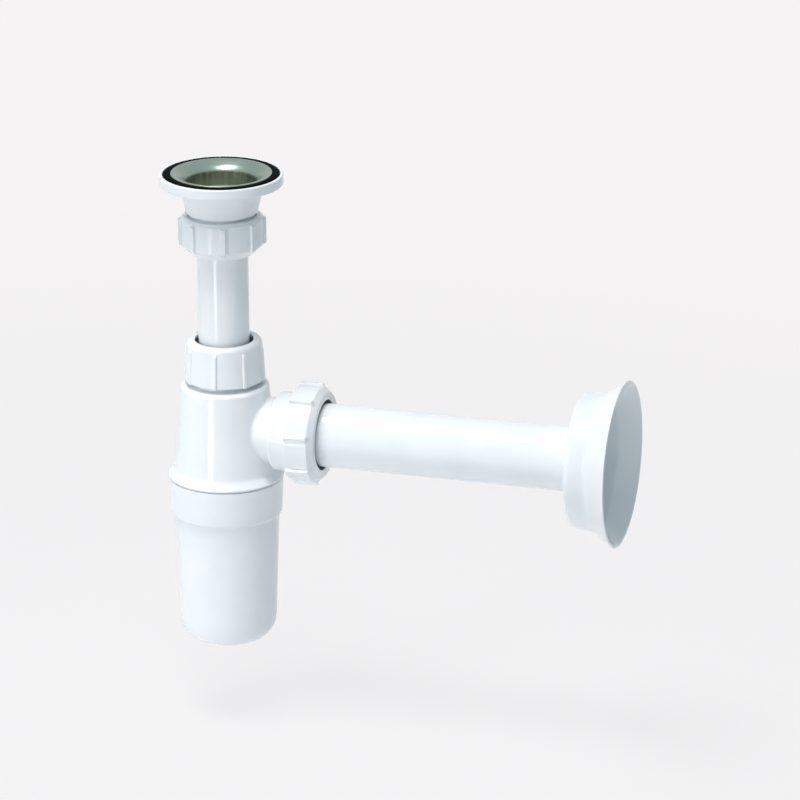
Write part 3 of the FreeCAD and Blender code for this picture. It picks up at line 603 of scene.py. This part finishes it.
class TRAP_OT_screw(bpy.types.Operator):
    """Slotted clamp screw with a domed head and a full thread"""
    bl_idname = "trap.screw"
    bl_label = "Clamp screw"

    shank, slot, slot_depth, dome_drop = 2.5, 0.6, 1.3, 1.25
    plain_shank, tip_length, tip_taper = 2.0, 0.8, 0.7
    head_rows, head_columns, rows_per_turn = 13, 25, 8
    # Rows of the head over the slot, in shares of its half width, and where the even rows beside it begin.
    slot_rows, beside_slot = (-1.04, -0.96, 0.0, 0.96, 1.04), 1.35

    def execute(self, context):
        """The head is a round grid that falls by dome_drop (1 - root(1 - share^4)), where share is the way
        out to the rim, and is cut down in the slot; the shank is lifted by its thread."""
        threads = context.scene.trap_threads
        pitch, depth = threads.screw_pitch / MM, threads.screw_depth / MM
        head, tip, top = extent("clamp_screw")
        seat = extent("strainer_cup")[1] + TRAP_OT_strainer.sheet
        slot_angle = math.asin(self.slot / head)
        beside = np.linspace(slot_angle * self.beside_slot, math.pi / 2, self.head_rows)
        across_slot = slot_angle * np.array(self.slot_rows)
        t = np.concatenate([-beside[::-1], across_slot, beside])[:, None]
        y = head * np.sin(t)
        x = head * np.cos(t) * np.sin(np.linspace(-math.pi / 2, math.pi / 2, self.head_columns))
        share = np.clip(np.hypot(x, y) / head, 0, 1)
        dome = top - self.dome_drop * (1 - np.sqrt(np.clip(1 - share ** 4, 0, 1)))
        z = np.where(np.abs(y) < self.slot, np.minimum(dome, top - self.slot_depth), dome)
        grid = np.stack(np.broadcast_arrays(x, y, z), -1)
        surface = Surface()
        surface.add(grid, wrap_columns=False)
        rim = np.concatenate([grid[:-1, -1], grid[:0:-1, 0]])
        angles = np.arctan2(rim[:, 1], rim[:, 0])
        foot = rim * [1, 1, 0] + [0, 0, seat]
        surface.add(np.stack([rim, (rim + foot) / 2, foot]))
        count = int((seat - tip) / pitch * self.rows_per_turn)
        rows = np.linspace(seat, tip + self.tip_length, count)[:, None]
        ridge = thread(rows, angles, tip + self.tip_length / 2, seat - self.plain_shank, pitch)
        point = about_bottle(np.array([[self.shank - self.tip_taper], [0.0]]), tip, angles)
        shank = about_bottle(self.shank + depth * ridge, rows, angles)
        surface.add(np.concatenate([foot[None], shank, point]))
        steel = polished_steel("screw_steel", context.scene.trap_colours)
        surface.piece("slotted_clamp_screw", steel, "screw", "stainless_steel", "clamp_screw")
        return {"FINISHED"}


class TRAP_OT_waste(bpy.types.Operator):
    """Basin waste: the flanged moulding with its threaded tail, hub and spokes, and its rubber gasket"""
    bl_idname = "trap.waste"
    bl_label = "Basin waste"

    seat_bore, recess, flange_low, neck_top, neck_base = 28.4, 36.5, -6.8, -8.8, -24.8
    neck, waist, waist_height, shoulder = 27.3, 24.9, -14.6, 22.4
    well, well_low, bore, bore_top, tail_root, tail_side = 22.5, -18.6, 17.2, -27.2, 19.6, 8.5
    hub, hub_top, screw_way, insert_way = 6.8, -24.6, 3.3, 4.5
    spokes, spoke_half, spoke_top, spoke_edge, spoke_ends = 3, 1.2, -26.6, 0.5, (6.0, 18.0)
    gasket_bore, gasket_crown, rebate, rebate_height = 29.5, 35.0, 31.8, -0.8
    columns, hub_columns = 160, 72

    def spoke_bars(self, surface, low):
        """The hub's spokes: a rounded oblong section carried from inside the hub to inside the tail's wall,
        and drawn in to its middle at both ends."""
        half, top, edge = self.spoke_half, self.spoke_top, self.spoke_edge
        section, _ = outline([(half, top, edge), (half, low, edge), (-half, low, edge), (-half, top, edge)])
        middle = section.mean(axis=0)
        swell = np.array([0.0, 1.0, 1.0, 0.0])[:, None, None]
        line = middle + swell * (section - middle)
        ends = np.repeat(self.spoke_ends, 2)[:, None]
        surface.repeated(ends, line[..., 0], line[..., 1], self.spokes)

    def execute(self, context):
        colours, threads = context.scene.trap_colours, context.scene.trap_threads
        flange, tail_end, top = extent("waste_body")
        gasket, seat, gasket_top = extent("basin_gasket")
        _, hub_low, insert_top = extent("insert_nut")
        line, owner = outline([
            (self.seat_bore, seat, 0.4), (self.recess, seat, 0.15), (self.recess, top, 0.3),
            (flange, top, 0.8), (flange, self.flange_low, 0.7, 3), (self.neck, self.neck_top, 2.2, 3),
            (self.waist, self.waist_height, 6.0, 3), (self.shoulder, self.neck_base, 0.5),
            (self.tail_root, self.neck_base, 0.3, 84), (self.tail_root, tail_end, 0.3),
            (self.bore, tail_end, 0.3, 3), (self.bore, self.bore_top, 1.5),
            (self.well, self.well_low, 3.0), (self.well, self.neck_top, 2.0)])
        angles = even_angles(self.columns)
        ridge = thread(
            line[:, 1:], angles, tail_end + 0.4, self.neck_base - 0.6, threads.pipe_pitch / MM)
        on_tail = (owner == self.tail_side)[:, None]
        surface = Surface()
        surface.add(about_bottle(
            line[:, :1] + threads.pipe_depth / MM * ridge * on_tail, line[:, 1:], angles), wrap_rows=True)
        surface.turned([
            (self.screw_way, self.hub_top, 0.3), (self.hub, self.hub_top, 0.6), (self.hub, hub_low, 0.5),
            (self.insert_way, hub_low, 0.2), (self.insert_way, insert_top, 0.2),
            (self.screw_way, insert_top, 0.2)], self.hub_columns)
        self.spoke_bars(surface, hub_low)
        white = white_plastic("waste_white", colours)
        surface.piece("waste_moulding", white, "waste", "white_plastic", "waste_body")
        ring = Surface().turned([
            (self.gasket_bore, self.rebate_height, 0.1), (self.rebate, self.rebate_height, 0.1),
            (self.rebate, gasket_top, 0.25), (self.gasket_crown, gasket_top, 0.5),
            (gasket, self.rebate_height, 0.4), (gasket, seat, 0.15), (self.gasket_bore, seat, 0.15),
        ], self.columns)
        rubber = soft_rubber("gasket_rubber", colours.gasket, 0.28)
        ring.piece("basin_seal_ring", rubber, "waste", "gasket_rubber", "basin_gasket")
        return {"FINISHED"}


# The corners between which a nut has ribs, how wide and proud the ribs are, and where along the axis they
# start and end, each with the length over which they rise.
Grip = namedtuple("Grip", "first last width proud start start_run end end_run")
# The side of a nut's outline that has the thread, and where along the axis the thread starts and ends.
Bore = namedtuple("Bore", "side start end")


class TRAP_OT_nuts(bpy.types.Operator):
    """Three union nuts: ribbed grips outside and a thread inside"""
    bl_idname = "trap.nuts"
    bl_label = "Union nuts"

    # Radii from the mouth to the eye, which is the hole that the tube passes, and how thick the end is there.
    bore, upper_rim, upper_side, upper_foot, upper_eye, upper_shelf = 21.25, 23.8, 25.6, 20.2, 17.0, 4.8
    inlet_skirt, inlet_top, inlet_eye, shelf = 25.2, 23.8, 18.4, 3.0
    outlet_bore, outlet_rim, outlet_side, outlet_foot, outlet_eye = 25.3, 29.5, 30.3, 27.0, 22.2

    def nut(self, context, corners, grip, bore, turn, about):
        """A nut: its outline is lifted by the ribs on its grip and drawn in by the thread inside its bore."""
        grips, threads = context.scene.trap_grips, context.scene.trap_threads
        line, owner = outline(corners)
        radius, place = line[:, :1], line[:, 1:]
        rib = grips.rib_count, turn, radius.max(), grip.width, grips.rib_edge / MM
        angles = rib_angles(*rib)
        start = smooth((place - grip.start) / grip.start_run + 0.5)
        end = smooth((grip.end - place) / grip.end_run + 0.5)
        on_grip = ((owner >= grip.first) & (owner <= grip.last))[:, None]
        ribs = grip.proud * rib_height(angles, *rib) * start * end * on_grip
        pitch = threads.pipe_pitch / MM
        ridge = thread(place, angles, bore.start, bore.end, pitch, INNER_SHIFT)
        drawn_in = threads.inner_depth / MM * ridge * (owner == bore.side)[:, None]
        surface = Surface()
        surface.add(about(radius + ribs - drawn_in, place, angles), wrap_rows=True)
        return surface

    def execute(self, context):
        grips = context.scene.trap_grips
        white = white_plastic("nut_white", context.scene.trap_colours, peel=1.4)
        _, low, high = extent("waste_nut")
        shelf = low + self.upper_shelf
        self.nut(context, [
            (self.bore, high, 0.4), (self.upper_rim, high, 0.6), (self.upper_side, high - 1.8, 1.0, 26),
            (self.upper_side, low + 5.5, 1.0, 4), (self.upper_foot, low, 0.7), (self.upper_eye, low, 0.4),
            (self.upper_eye, shelf, 0.2), (self.bore, shelf, 0.2, 80)],
            Grip(1.5, 3.5, 3.4, 1.8, low + 4.4, 2.4, high - 2.2, 1.3), Bore(7.5, shelf + 0.4, high - 0.3),
            grips.waste_turn, about_bottle,
        ).piece("upper_union_nut", white, "waste_nut", "white_plastic", "waste_nut")
        _, low, high = extent("inlet_nut")
        shelf = high - self.shelf
        self.nut(context, [
            (self.bore, low, 0.4), (self.inlet_skirt, low, 0.6, 26), (self.inlet_top, high, 3.0),
            (self.inlet_eye, high, 0.5), (self.inlet_eye, shelf, 0.2), (self.bore, shelf, 0.2, 90)],
            Grip(1.0, 2.0, 2.4, 1.0, low - 6.2, 1.0, high - 4.3, 1.2), Bore(5.5, low + 0.4, shelf - 0.4),
            grips.inlet_turn, about_bottle,
        ).piece("inlet_union_nut", white, "inlet_nut", "white_plastic", "inlet_nut")
        _, near, far = extent("outlet_nut", about_outlet)
        shelf = far - self.shelf
        self.nut(context, [
            (self.outlet_bore, near, 0.4), (self.outlet_rim, near, 0.3),
            (self.outlet_side, near + 0.8, 0.4, 22), (self.outlet_side, far - 3.5, 0.9, 4),
            (self.outlet_foot, far, 0.7), (self.outlet_eye, far, 0.5), (self.outlet_eye, shelf, 0.2),
            (self.outlet_bore, shelf, 0.2, 64)],
            Grip(1.5, 3.5, 2.6, 2.0, near + 0.7, 0.9, far - 2.9, 1.7), Bore(7.5, near + 0.3, shelf - 0.3),
            grips.outlet_turn, about_outlet,
        ).piece("outlet_union_nut", white, "outlet_nut", "white_plastic", "outlet_nut")
        return {"FINISHED"}


class TRAP_OT_tubes(bpy.types.Operator):
    """Inlet tube with its collar, and the plain outlet tube"""
    bl_idname = "trap.tubes"
    bl_label = "Tubes"

    inlet, wall, collar_length = 16.0, 1.8, 3.4
    # Draw lines: many features in a metre across the tube, and few along it.
    lines_across, lines_along = 900.0, 9.0

    def execute(self, context):
        colours = context.scene.trap_colours
        collar, low, high = extent("inlet_pipe")
        bore, under = self.inlet - self.wall, high - self.collar_length
        inlet = Surface().turned([
            (bore, high, 0.3), (collar, high, 0.4), (collar, under, 0.4), (self.inlet, under, 0.3, 24),
            (self.inlet, low, 0.5), (bore, low, 0.4, 24)])
        down = white_plastic(
            "inlet_tube_white", colours, drawn=(self.lines_across, self.lines_across, self.lines_along))
        inlet.piece("inlet_tube", down, "inlet_pipe", "white_plastic", "inlet_pipe")
        radius, near, far = extent("outlet_pipe", about_outlet)
        bore = radius - self.wall
        outlet = Surface().turned([
            (bore, near, 0.4), (radius, near, 0.5, 30), (radius, far, 0.5), (bore, far, 0.4, 30)],
            about=about_outlet)
        along = white_plastic(
            "outlet_tube_white", colours, drawn=(self.lines_along, self.lines_across, self.lines_across))
        outlet.piece("outlet_tube", along, "outlet_pipe", "white_plastic", "outlet_pipe")
        return {"FINISHED"}


class TRAP_OT_bottle(bpy.types.Operator):
    """Bottle body: spigot, dip tube, tapered wall, threaded skirt and the side branch, in one moulding"""
    bl_idname = "trap.bottle"
    bl_label = "Bottle body"

    spigot, spigot_mouth, spigot_top, spigot_side = 19.6, 18.9, -114.5, 1.5
    shoulder, shoulder_height, base, base_height = 27.9, -137.0, 32.65, -193.0
    flange, flange_top, flange_low = 36.4, -197.0, -198.2
    skirt, skirt_end, skirt_side = 32.0, -217.0, 9.5
    cavity_top, cavity_base, cavity_height = 25.3, 29.6, -140.0
    dip, dip_bore, dip_end, cone_seat = 18.6, 16.6, -258.0, -124.0
    # The window that the branch needs in the body's grid, and the corners whose sides it opens.
    frame_top, frame_low, frame_rows, frame_angle = -141.4, -189.3, 32, math.radians(50)
    frame_sides, slack = (4, 13), 1e-6
    branch_root, branch_root_start, branch_flare = 16.0, 12.0, 21.5
    collar, collar_start, collar_end, collar_lead = 25.0, 34.0, 46.5, 0.25
    tail, tail_end, tail_side = 24.0, 60.0, 4.5
    socket, socket_mouth, socket_cone, socket_stop, passage = 20.6, 22.9, 50.0, 36.0, 16.0
    fillet, fillet_foot, meet_rounds = 2.2, 0.9, 60
    patch_steps, fillet_steps, cone_steps = 7, 8, 5

    def wall(self, height):
        """Radius of the tapered wall at a height."""
        share = (self.shoulder_height - height) / (self.shoulder_height - self.base_height)
        return self.shoulder + (self.base - self.shoulder) * share

    def cavity(self, height):
        """Radius of the cavity inside the wall at a height."""
        share = (self.cavity_height - height) / (self.cavity_height - self.base_height)
        return self.cavity_top + (self.cavity_base - self.cavity_top) * share

    def root(self, along):
        """Radius of the branch's root cone at a place along the outlet."""
        share = (along - self.branch_root_start) / (self.collar_start - self.branch_root_start)
        return self.branch_root + (self.branch_flare - self.branch_root) * share

    def meet(self, reach, around, wall):
        """Where a line beside the outlet's axis, at a distance in a direction, comes out of a wall."""
        y, z = reach * np.cos(around), OUTLET_HEIGHT + reach * np.sin(around)
        return np.stack([np.sqrt(wall(z) ** 2 - y ** 2), y, z], -1)

    def patch(self, surface, hole, window, wall):
        """The wall between the branch's hole and a window in the body's grid: p = (1 - v) hole + v window, in
        angle and height, lifted to the wall's radius."""
        hole = np.stack([np.arctan2(hole[:, 1], hole[:, 0]), hole[:, 2]], -1)
        v = np.linspace(0, 1, self.patch_steps + 1)[:, None, None]
        flat = (1 - v) * hole + v * window
        surface.add(about_bottle(wall(flat[..., 1]), flat[..., 1], flat[..., 0]))

    def branch(self, surface, window, threads):
        """The branch: the root cone is followed back to where it meets the wall, a curve that bends from the
        wall to the cone rounds the corner, and the collar, thread, socket and passage follow on the same
        columns."""
        middle = np.array([0.0, OUTLET_HEIGHT])
        scale = np.array([self.frame_angle, (self.frame_top - self.frame_low) / 2])
        across, up = ((window - middle) / scale).T
        around = np.arctan2(up, across)
        along = np.full_like(around, self.wall(OUTLET_HEIGHT))
        for _ in range(self.meet_rounds):
            along = self.meet(self.root(along), around, self.wall)[:, 0]
        corner = self.meet(self.root(along), around, self.wall)
        foot = self.meet(self.root(along) + self.fillet * self.fillet_foot, around, self.wall)
        ahead = along + self.fillet
        crown = about_outlet(self.root(ahead), ahead, around)
        s = np.linspace(0, 1, self.fillet_steps + 1)[:, None, None]
        self.patch(surface, foot, window, self.wall)
        surface.add((1 - s) ** 2 * foot + 2 * s * (1 - s) * corner + s ** 2 * crown)
        t = np.linspace(0, 1, self.cone_steps + 1)[:, None]
        cone_end = self.collar_start - self.collar_lead
        cone = ahead * (1 - t) + cone_end * t
        surface.add(about_outlet(self.root(cone), cone, around))
        line, owner = outline([
            (self.root(cone_end), cone_end), (self.branch_flare, self.collar_start, 0.2),
            (self.collar, self.collar_start, 3.1, 3), (self.collar, self.collar_end, 0.4),
            (self.tail, self.collar_end, 0.3, 66), (self.tail, self.tail_end, 0.4),
            (self.socket_mouth, self.tail_end, 0.3), (self.socket, self.socket_cone, 2.0, 3),
            (self.socket, self.socket_stop, 0.3), (self.passage, self.socket_stop, 0.4),
            (self.passage, self.collar_start)], closed=False)
        ridge = thread(
            line[:, 1:], around, self.collar_end + 0.4, self.tail_end - 0.3, threads.pipe_pitch / MM)
        lift = threads.branch_depth / MM * ridge * (owner == self.tail_side)[:, None]
        surface.add(about_outlet(line[:, :1] + lift, line[:, 1:], around))
        inner = self.meet(np.full_like(around, self.passage), around, self.cavity)
        way = self.collar_start * (1 - t) + inner[:, 0] * t
        surface.add(about_outlet(self.passage, way, around))
        self.patch(surface, inner, window, self.cavity)

    def execute(self, context):
        colours, threads = context.scene.trap_colours, context.scene.trap_threads
        line, owner = outline([
            (self.spigot_mouth, self.spigot_top, 0.2), (self.spigot, self.spigot_top, 0.2, 104),
            (self.spigot, self.shoulder_height, 0.5, 3), (self.shoulder, self.shoulder_height, 3.0),
            (self.wall(self.frame_top), self.frame_top, 0, self.frame_rows),
            (self.wall(self.frame_low), self.frame_low), (self.base, self.base_height, 5.0),
            (self.flange, self.flange_top, 0.8), (self.flange, self.flange_low, 0.4),
            (self.skirt, self.flange_low, 0.3, 62), (self.skirt, self.skirt_end, 0.4),
            (self.cavity_base, self.skirt_end, 0.3, 6), (self.cavity_base, self.base_height),
            (self.cavity(self.frame_low), self.frame_low, 0, self.frame_rows),
            (self.cavity(self.frame_top), self.frame_top), (self.cavity_top, self.cavity_height, 0.8),
            (self.dip, self.cavity_height, 0.8, 12), (self.dip, self.dip_end, 0.5),
            (self.dip_bore, self.dip_end, 0.5, 14), (self.dip_bore, self.cone_seat, 1.0, 4)])
        angles = even_angles()
        lift = 0.0
        for side, start, end, pitch, depth in (
            (self.spigot_side, self.shoulder_height + 0.8, self.spigot_top - 0.3,
             threads.pipe_pitch, threads.pipe_depth),
            (self.skirt_side, self.skirt_end + 0.4, self.flange_low - 0.4,
             threads.cup_pitch, threads.cup_depth),
        ):
            ridge = thread(line[:, 1:], angles, start, end, pitch / MM) * (owner == side)[:, None]
            lift = lift + depth / MM * ridge
        in_window = np.abs(angles + math.pi / angles.size) < self.frame_angle
        open_rows = np.isin(np.floor(owner), self.frame_sides)
        surface = Surface()
        surface.add(
            about_bottle(line[:, :1] + lift, line[:, 1:], angles), wrap_rows=True,
            leave_out=open_rows[:, None] & in_window[None])
        across = angles[np.abs(angles) < self.frame_angle + self.slack]
        down = np.linspace(self.frame_top, self.frame_low, self.frame_rows + 1)
        window = np.hstack([np.broadcast_arrays(*side) for side in (
            (across[:-1], self.frame_top), (across[-1], down[:-1]),
            (across[:0:-1], self.frame_low), (across[0], down[:0:-1]))]).T
        self.branch(surface, window, threads)
        white = white_plastic("bottle_white", colours)
        surface.piece("bottle_moulding", white, "trap_body", "white_plastic", "trap_body")
        return {"FINISHED"}


class TRAP_OT_cup(bpy.types.Operator):
    """Screw-off cup with its banded mouth, inner thread and round bottom"""
    bl_idname = "trap.cup"
    bl_label = "Cup"

    bottom, waist, waist_height, band_foot, band_height = 30.2, 33.4, -223.3, 35.4, -221.5
    bore, bore_side, ledge_bore, floor_edge, floor_wall = 33.3, 5.5, 31.0, 27.8, 2.4

    def execute(self, context):
        threads = context.scene.trap_threads
        band, low, high = extent("bottle_cup")
        _, ledge, _ = extent("cup_seal")
        floor = low + self.floor_wall
        line, owner = outline([
            (0.0, low), (self.bottom, low, 14.5, 10), (self.waist, self.waist_height, 0.8),
            (self.band_foot, self.band_height, 1.0, 4), (band, high, 0.9), (self.bore, high, 0.4, 64),
            (self.bore, ledge, 0.3), (self.ledge_bore, ledge, 0.8, 8), (self.floor_edge, floor, 12.1),
            (0.0, floor)], closed=False)
        angles = even_angles()
        ridge = thread(line[:, 1:], angles, ledge + 0.4, high - 0.5, threads.cup_pitch / MM, INNER_SHIFT)
        drawn_in = threads.inner_depth / MM * ridge * (owner == self.bore_side)[:, None]
        surface = Surface()
        surface.add(about_bottle(line[:, :1] - drawn_in, line[:, 1:], angles))
        white = white_plastic("cup_white", context.scene.trap_colours)
        surface.piece("screw_cup", white, "bottle_cup", "white_plastic", "bottle_cup")
        return {"FINISHED"}


class TRAP_OT_rosette(bpy.types.Operator):
    """Bell-shaped wall rosette that slides on the outlet tube"""
    bl_idname = "trap.rosette"
    bl_label = "Wall rosette"

    bore, bell, waist, waist_along, wall, columns = 20.4, 42.0, 43.0, 14.0, 1.8, 176

    def execute(self, context):
        rim, near, far = extent("wall_rosette", about_outlet)
        waist = near + self.waist_along
        surface = Surface().turned([
            (self.bore, near, 0.4), (self.bell, near, 4.0, 4), (self.waist, waist, 7.0, 4), (rim, far, 0.3),
            (rim - self.wall, far, 0.5, 4), (self.waist - self.wall, waist + self.wall, 5.0, 4),
            (self.bell - self.wall, near + self.wall, 2.2), (self.bore, near + self.wall, 0.4)],
            self.columns, about=about_outlet)
        white = white_plastic("rosette_white", context.scene.trap_colours)
        surface.piece("bell_rosette", white, "wall_rosette", "white_plastic", "wall_rosette")
        return {"FINISHED"}


class TRAP_OT_seals(bpy.types.Operator):
    """Inner rings: flat washers, cone seals, slip rings and the brass insert"""
    bl_idname = "trap.seals"
    bl_label = "Seals and rings"

    # Bores, then a lip's radius and how proud it stands, then a cone seal's toe, band and toe rounding. The
    # black lips stand proud up to the nuts' mouths as painted shade in the gap there.
    washer_bore, cup_bore, insert_bore, inlet_bore, outlet_bore = 15.4, 29.8, 3.2, 16.3, 20.3
    inlet_lip, outlet_lip = (18.1, 1.4), (21.9, 2.4)
    inlet_toe, outlet_toe = (16.664, 1.5, 0.1), (20.829, 1.2, 0.15)
    washer_edge, insert_edge, ring_columns, insert_columns = 0.25, 0.3, 120, 72

    def flat(self, size, bore, edge):
        """Corners of a flat ring."""
        outer, low, high = size
        return [(bore, high, edge), (outer, high, edge), (outer, low, edge), (bore, low, edge)]

    def lipped(self, size, bore, lip, proud):
        """Corners of a flat ring with a lip that stands proud round its bore; on the black slip rings the lip
        reaches the nut's mouth as painted shade in the gap.
        """
        outer, low, high = size
        return [
            (bore, high + proud, 0.3), (lip, high + proud, 0.3), (lip, high, 0.1), (outer, high, 0.3),
            (outer, low, 0.3), (bore, low, 0.3)]

    def coned(self, size, bore, toe, band, toe_edge):
        """Corners of a ring that narrows from a plain band to a thin toe."""
        outer, low, high = size
        return [
            (bore, high, 0.25), (outer, high, 0.3), (outer, high - band, 0.2), (toe, low, toe_edge),
            (bore, low, toe_edge)]

    def execute(self, context):
        colours = context.scene.trap_colours
        rubber = soft_rubber("seal_rubber", colours.seal, 0.42)
        slip = slip_plastic("slip_ring_plastic", colours)
        for name, finish, body, slot, node, about, form, *sizes in (
            ("tail_washer", rubber, "inlet_pipe", "seal_rubber", "waste_washer", about_bottle,
             self.flat, self.washer_bore, self.washer_edge),
            ("inlet_slip_ring", slip, "inlet_ring", "slip_ring_plastic", "inlet_thrust_ring", about_bottle,
             self.lipped, self.inlet_bore, *self.inlet_lip),
            ("inlet_cone_ring", rubber, "inlet_seal", "seal_rubber", "inlet_cone_seal", about_bottle,
             self.coned, self.inlet_bore, *self.inlet_toe),
            ("cup_flat_ring", rubber, "cup_seal", "seal_rubber", "cup_seal", about_bottle,
             self.flat, self.cup_bore, self.washer_edge),
            ("outlet_slip_ring", slip, "outlet_ring", "slip_ring_plastic", "outlet_thrust_ring", about_outlet,
             self.lipped, self.outlet_bore, *self.outlet_lip),
            ("outlet_cone_ring", rubber, "trap_body", "seal_rubber", "outlet_cone_seal", about_outlet,
             self.coned, self.outlet_bore, *self.outlet_toe),
        ):
            corners = form(extent(node, about), *sizes)
            Surface().turned(corners, self.ring_columns, about=about).piece(name, finish, body, slot, node)
        brass = turned_brass("turned_brass", colours)
        corners = self.flat(extent("insert_nut"), self.insert_bore, self.insert_edge)
        insert = Surface().turned(corners, self.insert_columns)
        insert.piece("threaded_insert", brass, "waste", "brass", "insert_nut")
        return {"FINISHED"}


def direction(azimuth, elevation):
    """From the part towards an azimuth, counted from -Y towards +X, and an elevation above the horizon."""
    flat = math.cos(elevation)
    return Vector((math.sin(azimuth) * flat, -math.cos(azimuth) * flat, math.sin(elevation)))


class TRAP_OT_stage(bpy.types.Operator):
    """Pale floor, soft studio light and the camera"""
    bl_idname = "trap.stage"
    bl_label = "Stage"

    # The floor, in metres: its first ring and its edge, and between which distances its shadow fades out.
    floor_start, floor_edge, floor_rings, floor_columns = 0.05, 14.0, 40, 96
    shadow_near, shadow_far, shadow = 0.25, 1.2, 0.15

    def lamp(self, name, power, colour, size, azimuth, elevation, distance, aim, spread=180):
        """A softbox that faces a point, in degrees and metres as seen from it; a grid narrows its spread."""
        towards = direction(math.radians(azimuth), math.radians(elevation))
        data = bpy.data.lights.new(name, "AREA")
        data.shape = "RECTANGLE"
        data.size, data.size_y = size
        data.energy, data.color, data.spread = power, colour, math.radians(spread)
        lamp = bpy.data.objects.new(name, data)
        lamp.location = Vector(aim) + towards * distance
        lamp.rotation_mode = "QUATERNION"
        lamp.rotation_quaternion = towards.to_track_quat("Z", "Y")
        bpy.context.scene.collection.objects.link(lamp)

    def floor(self, stage):
        """A wide disc of rings and spokes below the part: near the part it takes shadow, and further out it
        turns into the plain background."""
        rings = np.geomspace(self.floor_start, self.floor_edge, self.floor_rings) / MM
        rings = np.concatenate([[0.0], rings])[:, None]
        grid = about_bottle(rings, CAD_BOX[0][2] / MM - FLOOR_DROP, even_angles(self.floor_columns))
        grid[..., 0] += (CAD_BOX[0][0] + CAD_BOX[1][0]) / 2 / MM
        surface = Surface()
        surface.add(grid)
        floor = bpy.data.objects.new("studio_floor", surface.mesh("studio_floor", closed=False))
        finish = Finish("studio_floor")
        x, y, _ = finish.axes()
        away = (x * x + y * y).root().clipped(self.shadow_near, self.shadow_far)
        grain = finish.noise(30.0, 3.0)
        floor.data.materials.append(finish.made(
            Base_Color=finish.blend(grain, [0.97 * c for c in stage.backdrop], stage.backdrop),
            Roughness=0.9,
            Specular_IOR_Level=0.0,
        ))
        glow = finish.node(
            "ShaderNodeEmission", None, {"Color": stage.backdrop, "Strength": stage.floor_glow})
        finish.show(finish.backed(finish.shader, glow, 1 - self.shadow + away * self.shadow))
        bpy.context.scene.collection.objects.link(floor)

    def surroundings(self, scene, stage):
        """The world: soft fill that fades towards the camera's right, and the plain background."""
        world = bpy.data.worlds.new("studio")
        scene.world = world
        world.use_nodes = True
        nodes = Nodes(world.node_tree, "ShaderNodeOutputWorld")
        facing = nodes.node("ShaderNodeTexCoord", output="Generated")
        right = direction(stage.azimuth + TURN / 4, 0.0)
        sideways = nodes.node(
            "ShaderNodeVectorMath", {"operation": "DOT_PRODUCT"}, {0: facing, 1: right}, "Value")
        strength = stage.sky_strength - sideways * (stage.sky_fall * stage.sky_strength)
        fill = nodes.node("ShaderNodeBackground", None, {"Color": stage.sky, "Strength": strength})
        plain = nodes.node("ShaderNodeBackground", None, {"Color": stage.backdrop, "Strength": 1.0})
        nodes.show(nodes.backed(fill, plain))

    def camera(self, scene, stage):
        """A long lens at the viewing angle: placed back along the line of sight, then slid across it."""
        back = direction(stage.azimuth, stage.elevation)
        right = direction(stage.azimuth + TURN / 4, 0.0)
        up = back.cross(right)
        data = bpy.data.cameras.new("camera")
        data.sensor_width, data.lens = 36.0, stage.focal
        data.clip_start, data.clip_end = 0.1, 50.0
        camera = bpy.data.objects.new("camera", data)
        facing = Matrix((right, up, back)).transposed() @ Matrix.Rotation(-stage.roll, 3, "Z")
        camera.rotation_mode = "QUATERNION"
        camera.rotation_quaternion = facing.to_quaternion()
        camera.location = back * stage.distance + right * stage.slide_right - up * stage.slide_down
        scene.collection.objects.link(camera)
        scene.camera = camera

    def execute(self, context):
        scene, stage = context.scene, context.scene.trap_stage
        scene.view_settings.view_transform = "Standard"
        self.camera(scene, stage)
        self.floor(stage)
        self.surroundings(scene, stage)
        middle = [(low + high) / 2 for low, high in zip(*CAD_BOX)]
        bottle, cup = (0.0, 0.0, -0.17), (0.0, 0.0, -0.30)
        self.lamp("key_softbox", stage.key_power, (1.0, 0.93, 0.89), size=(0.5, 0.5),
                  azimuth=-34, elevation=16, distance=1.9, aim=cup, spread=28)
        self.lamp("catch_softbox", stage.catch_power, (1.0, 1.0, 1.0), size=(0.11, 0.07),
                  azimuth=-16, elevation=-10, distance=0.71, aim=bottle)
        self.lamp("top_softbox", stage.top_power, (1.0, 0.945, 0.92), size=(0.8, 0.42),
                  azimuth=-26, elevation=72, distance=1.6, aim=middle)
        return {"FINISHED"}


OPERATORS = (
    TRAP_OT_stage, TRAP_OT_strainer, TRAP_OT_screw, TRAP_OT_waste, TRAP_OT_nuts, TRAP_OT_tubes,
    TRAP_OT_bottle, TRAP_OT_cup, TRAP_OT_rosette, TRAP_OT_seals,
)
GROUPS = {
    "trap_threads": TrapThreads,
    "trap_grips": TrapGrips,
    "trap_colours": TrapColours,
    "trap_stage": TrapStage,
}


class TRAP_PT_panel(bpy.types.Panel):
    """Sizes, colours and steps of the bottle trap"""
    bl_idname = "TRAP_PT_panel"
    bl_label = "Bottle trap"
    bl_space_type = "VIEW_3D"
    bl_region_type = "UI"
    bl_category = "Bottle trap"

    def draw(self, context):
        for attribute, group in GROUPS.items():
            box = self.layout.box()
            for name in group.__annotations__:
                box.prop(getattr(context.scene, attribute), name)
        for operator in OPERATORS:
            self.layout.operator(operator.bl_idname)


def register():
    for cls in (*GROUPS.values(), *OPERATORS, TRAP_PT_panel):
        bpy.utils.register_class(cls)
    for attribute, group in GROUPS.items():
        setattr(bpy.types.Scene, attribute, bpy.props.PointerProperty(type=group))


def unregister():
    for attribute in GROUPS:
        delattr(bpy.types.Scene, attribute)
    for cls in reversed((*GROUPS.values(), *OPERATORS, TRAP_PT_panel)):
        bpy.utils.unregister_class(cls)


def main():
    """Builds the stage and every piece."""
    register()
    for operator in OPERATORS:
        space, name = operator.bl_idname.split(".")
        getattr(getattr(bpy.ops, space), name)()
    bpy.context.view_layer.update()


if __name__ == "__main__":
    main()
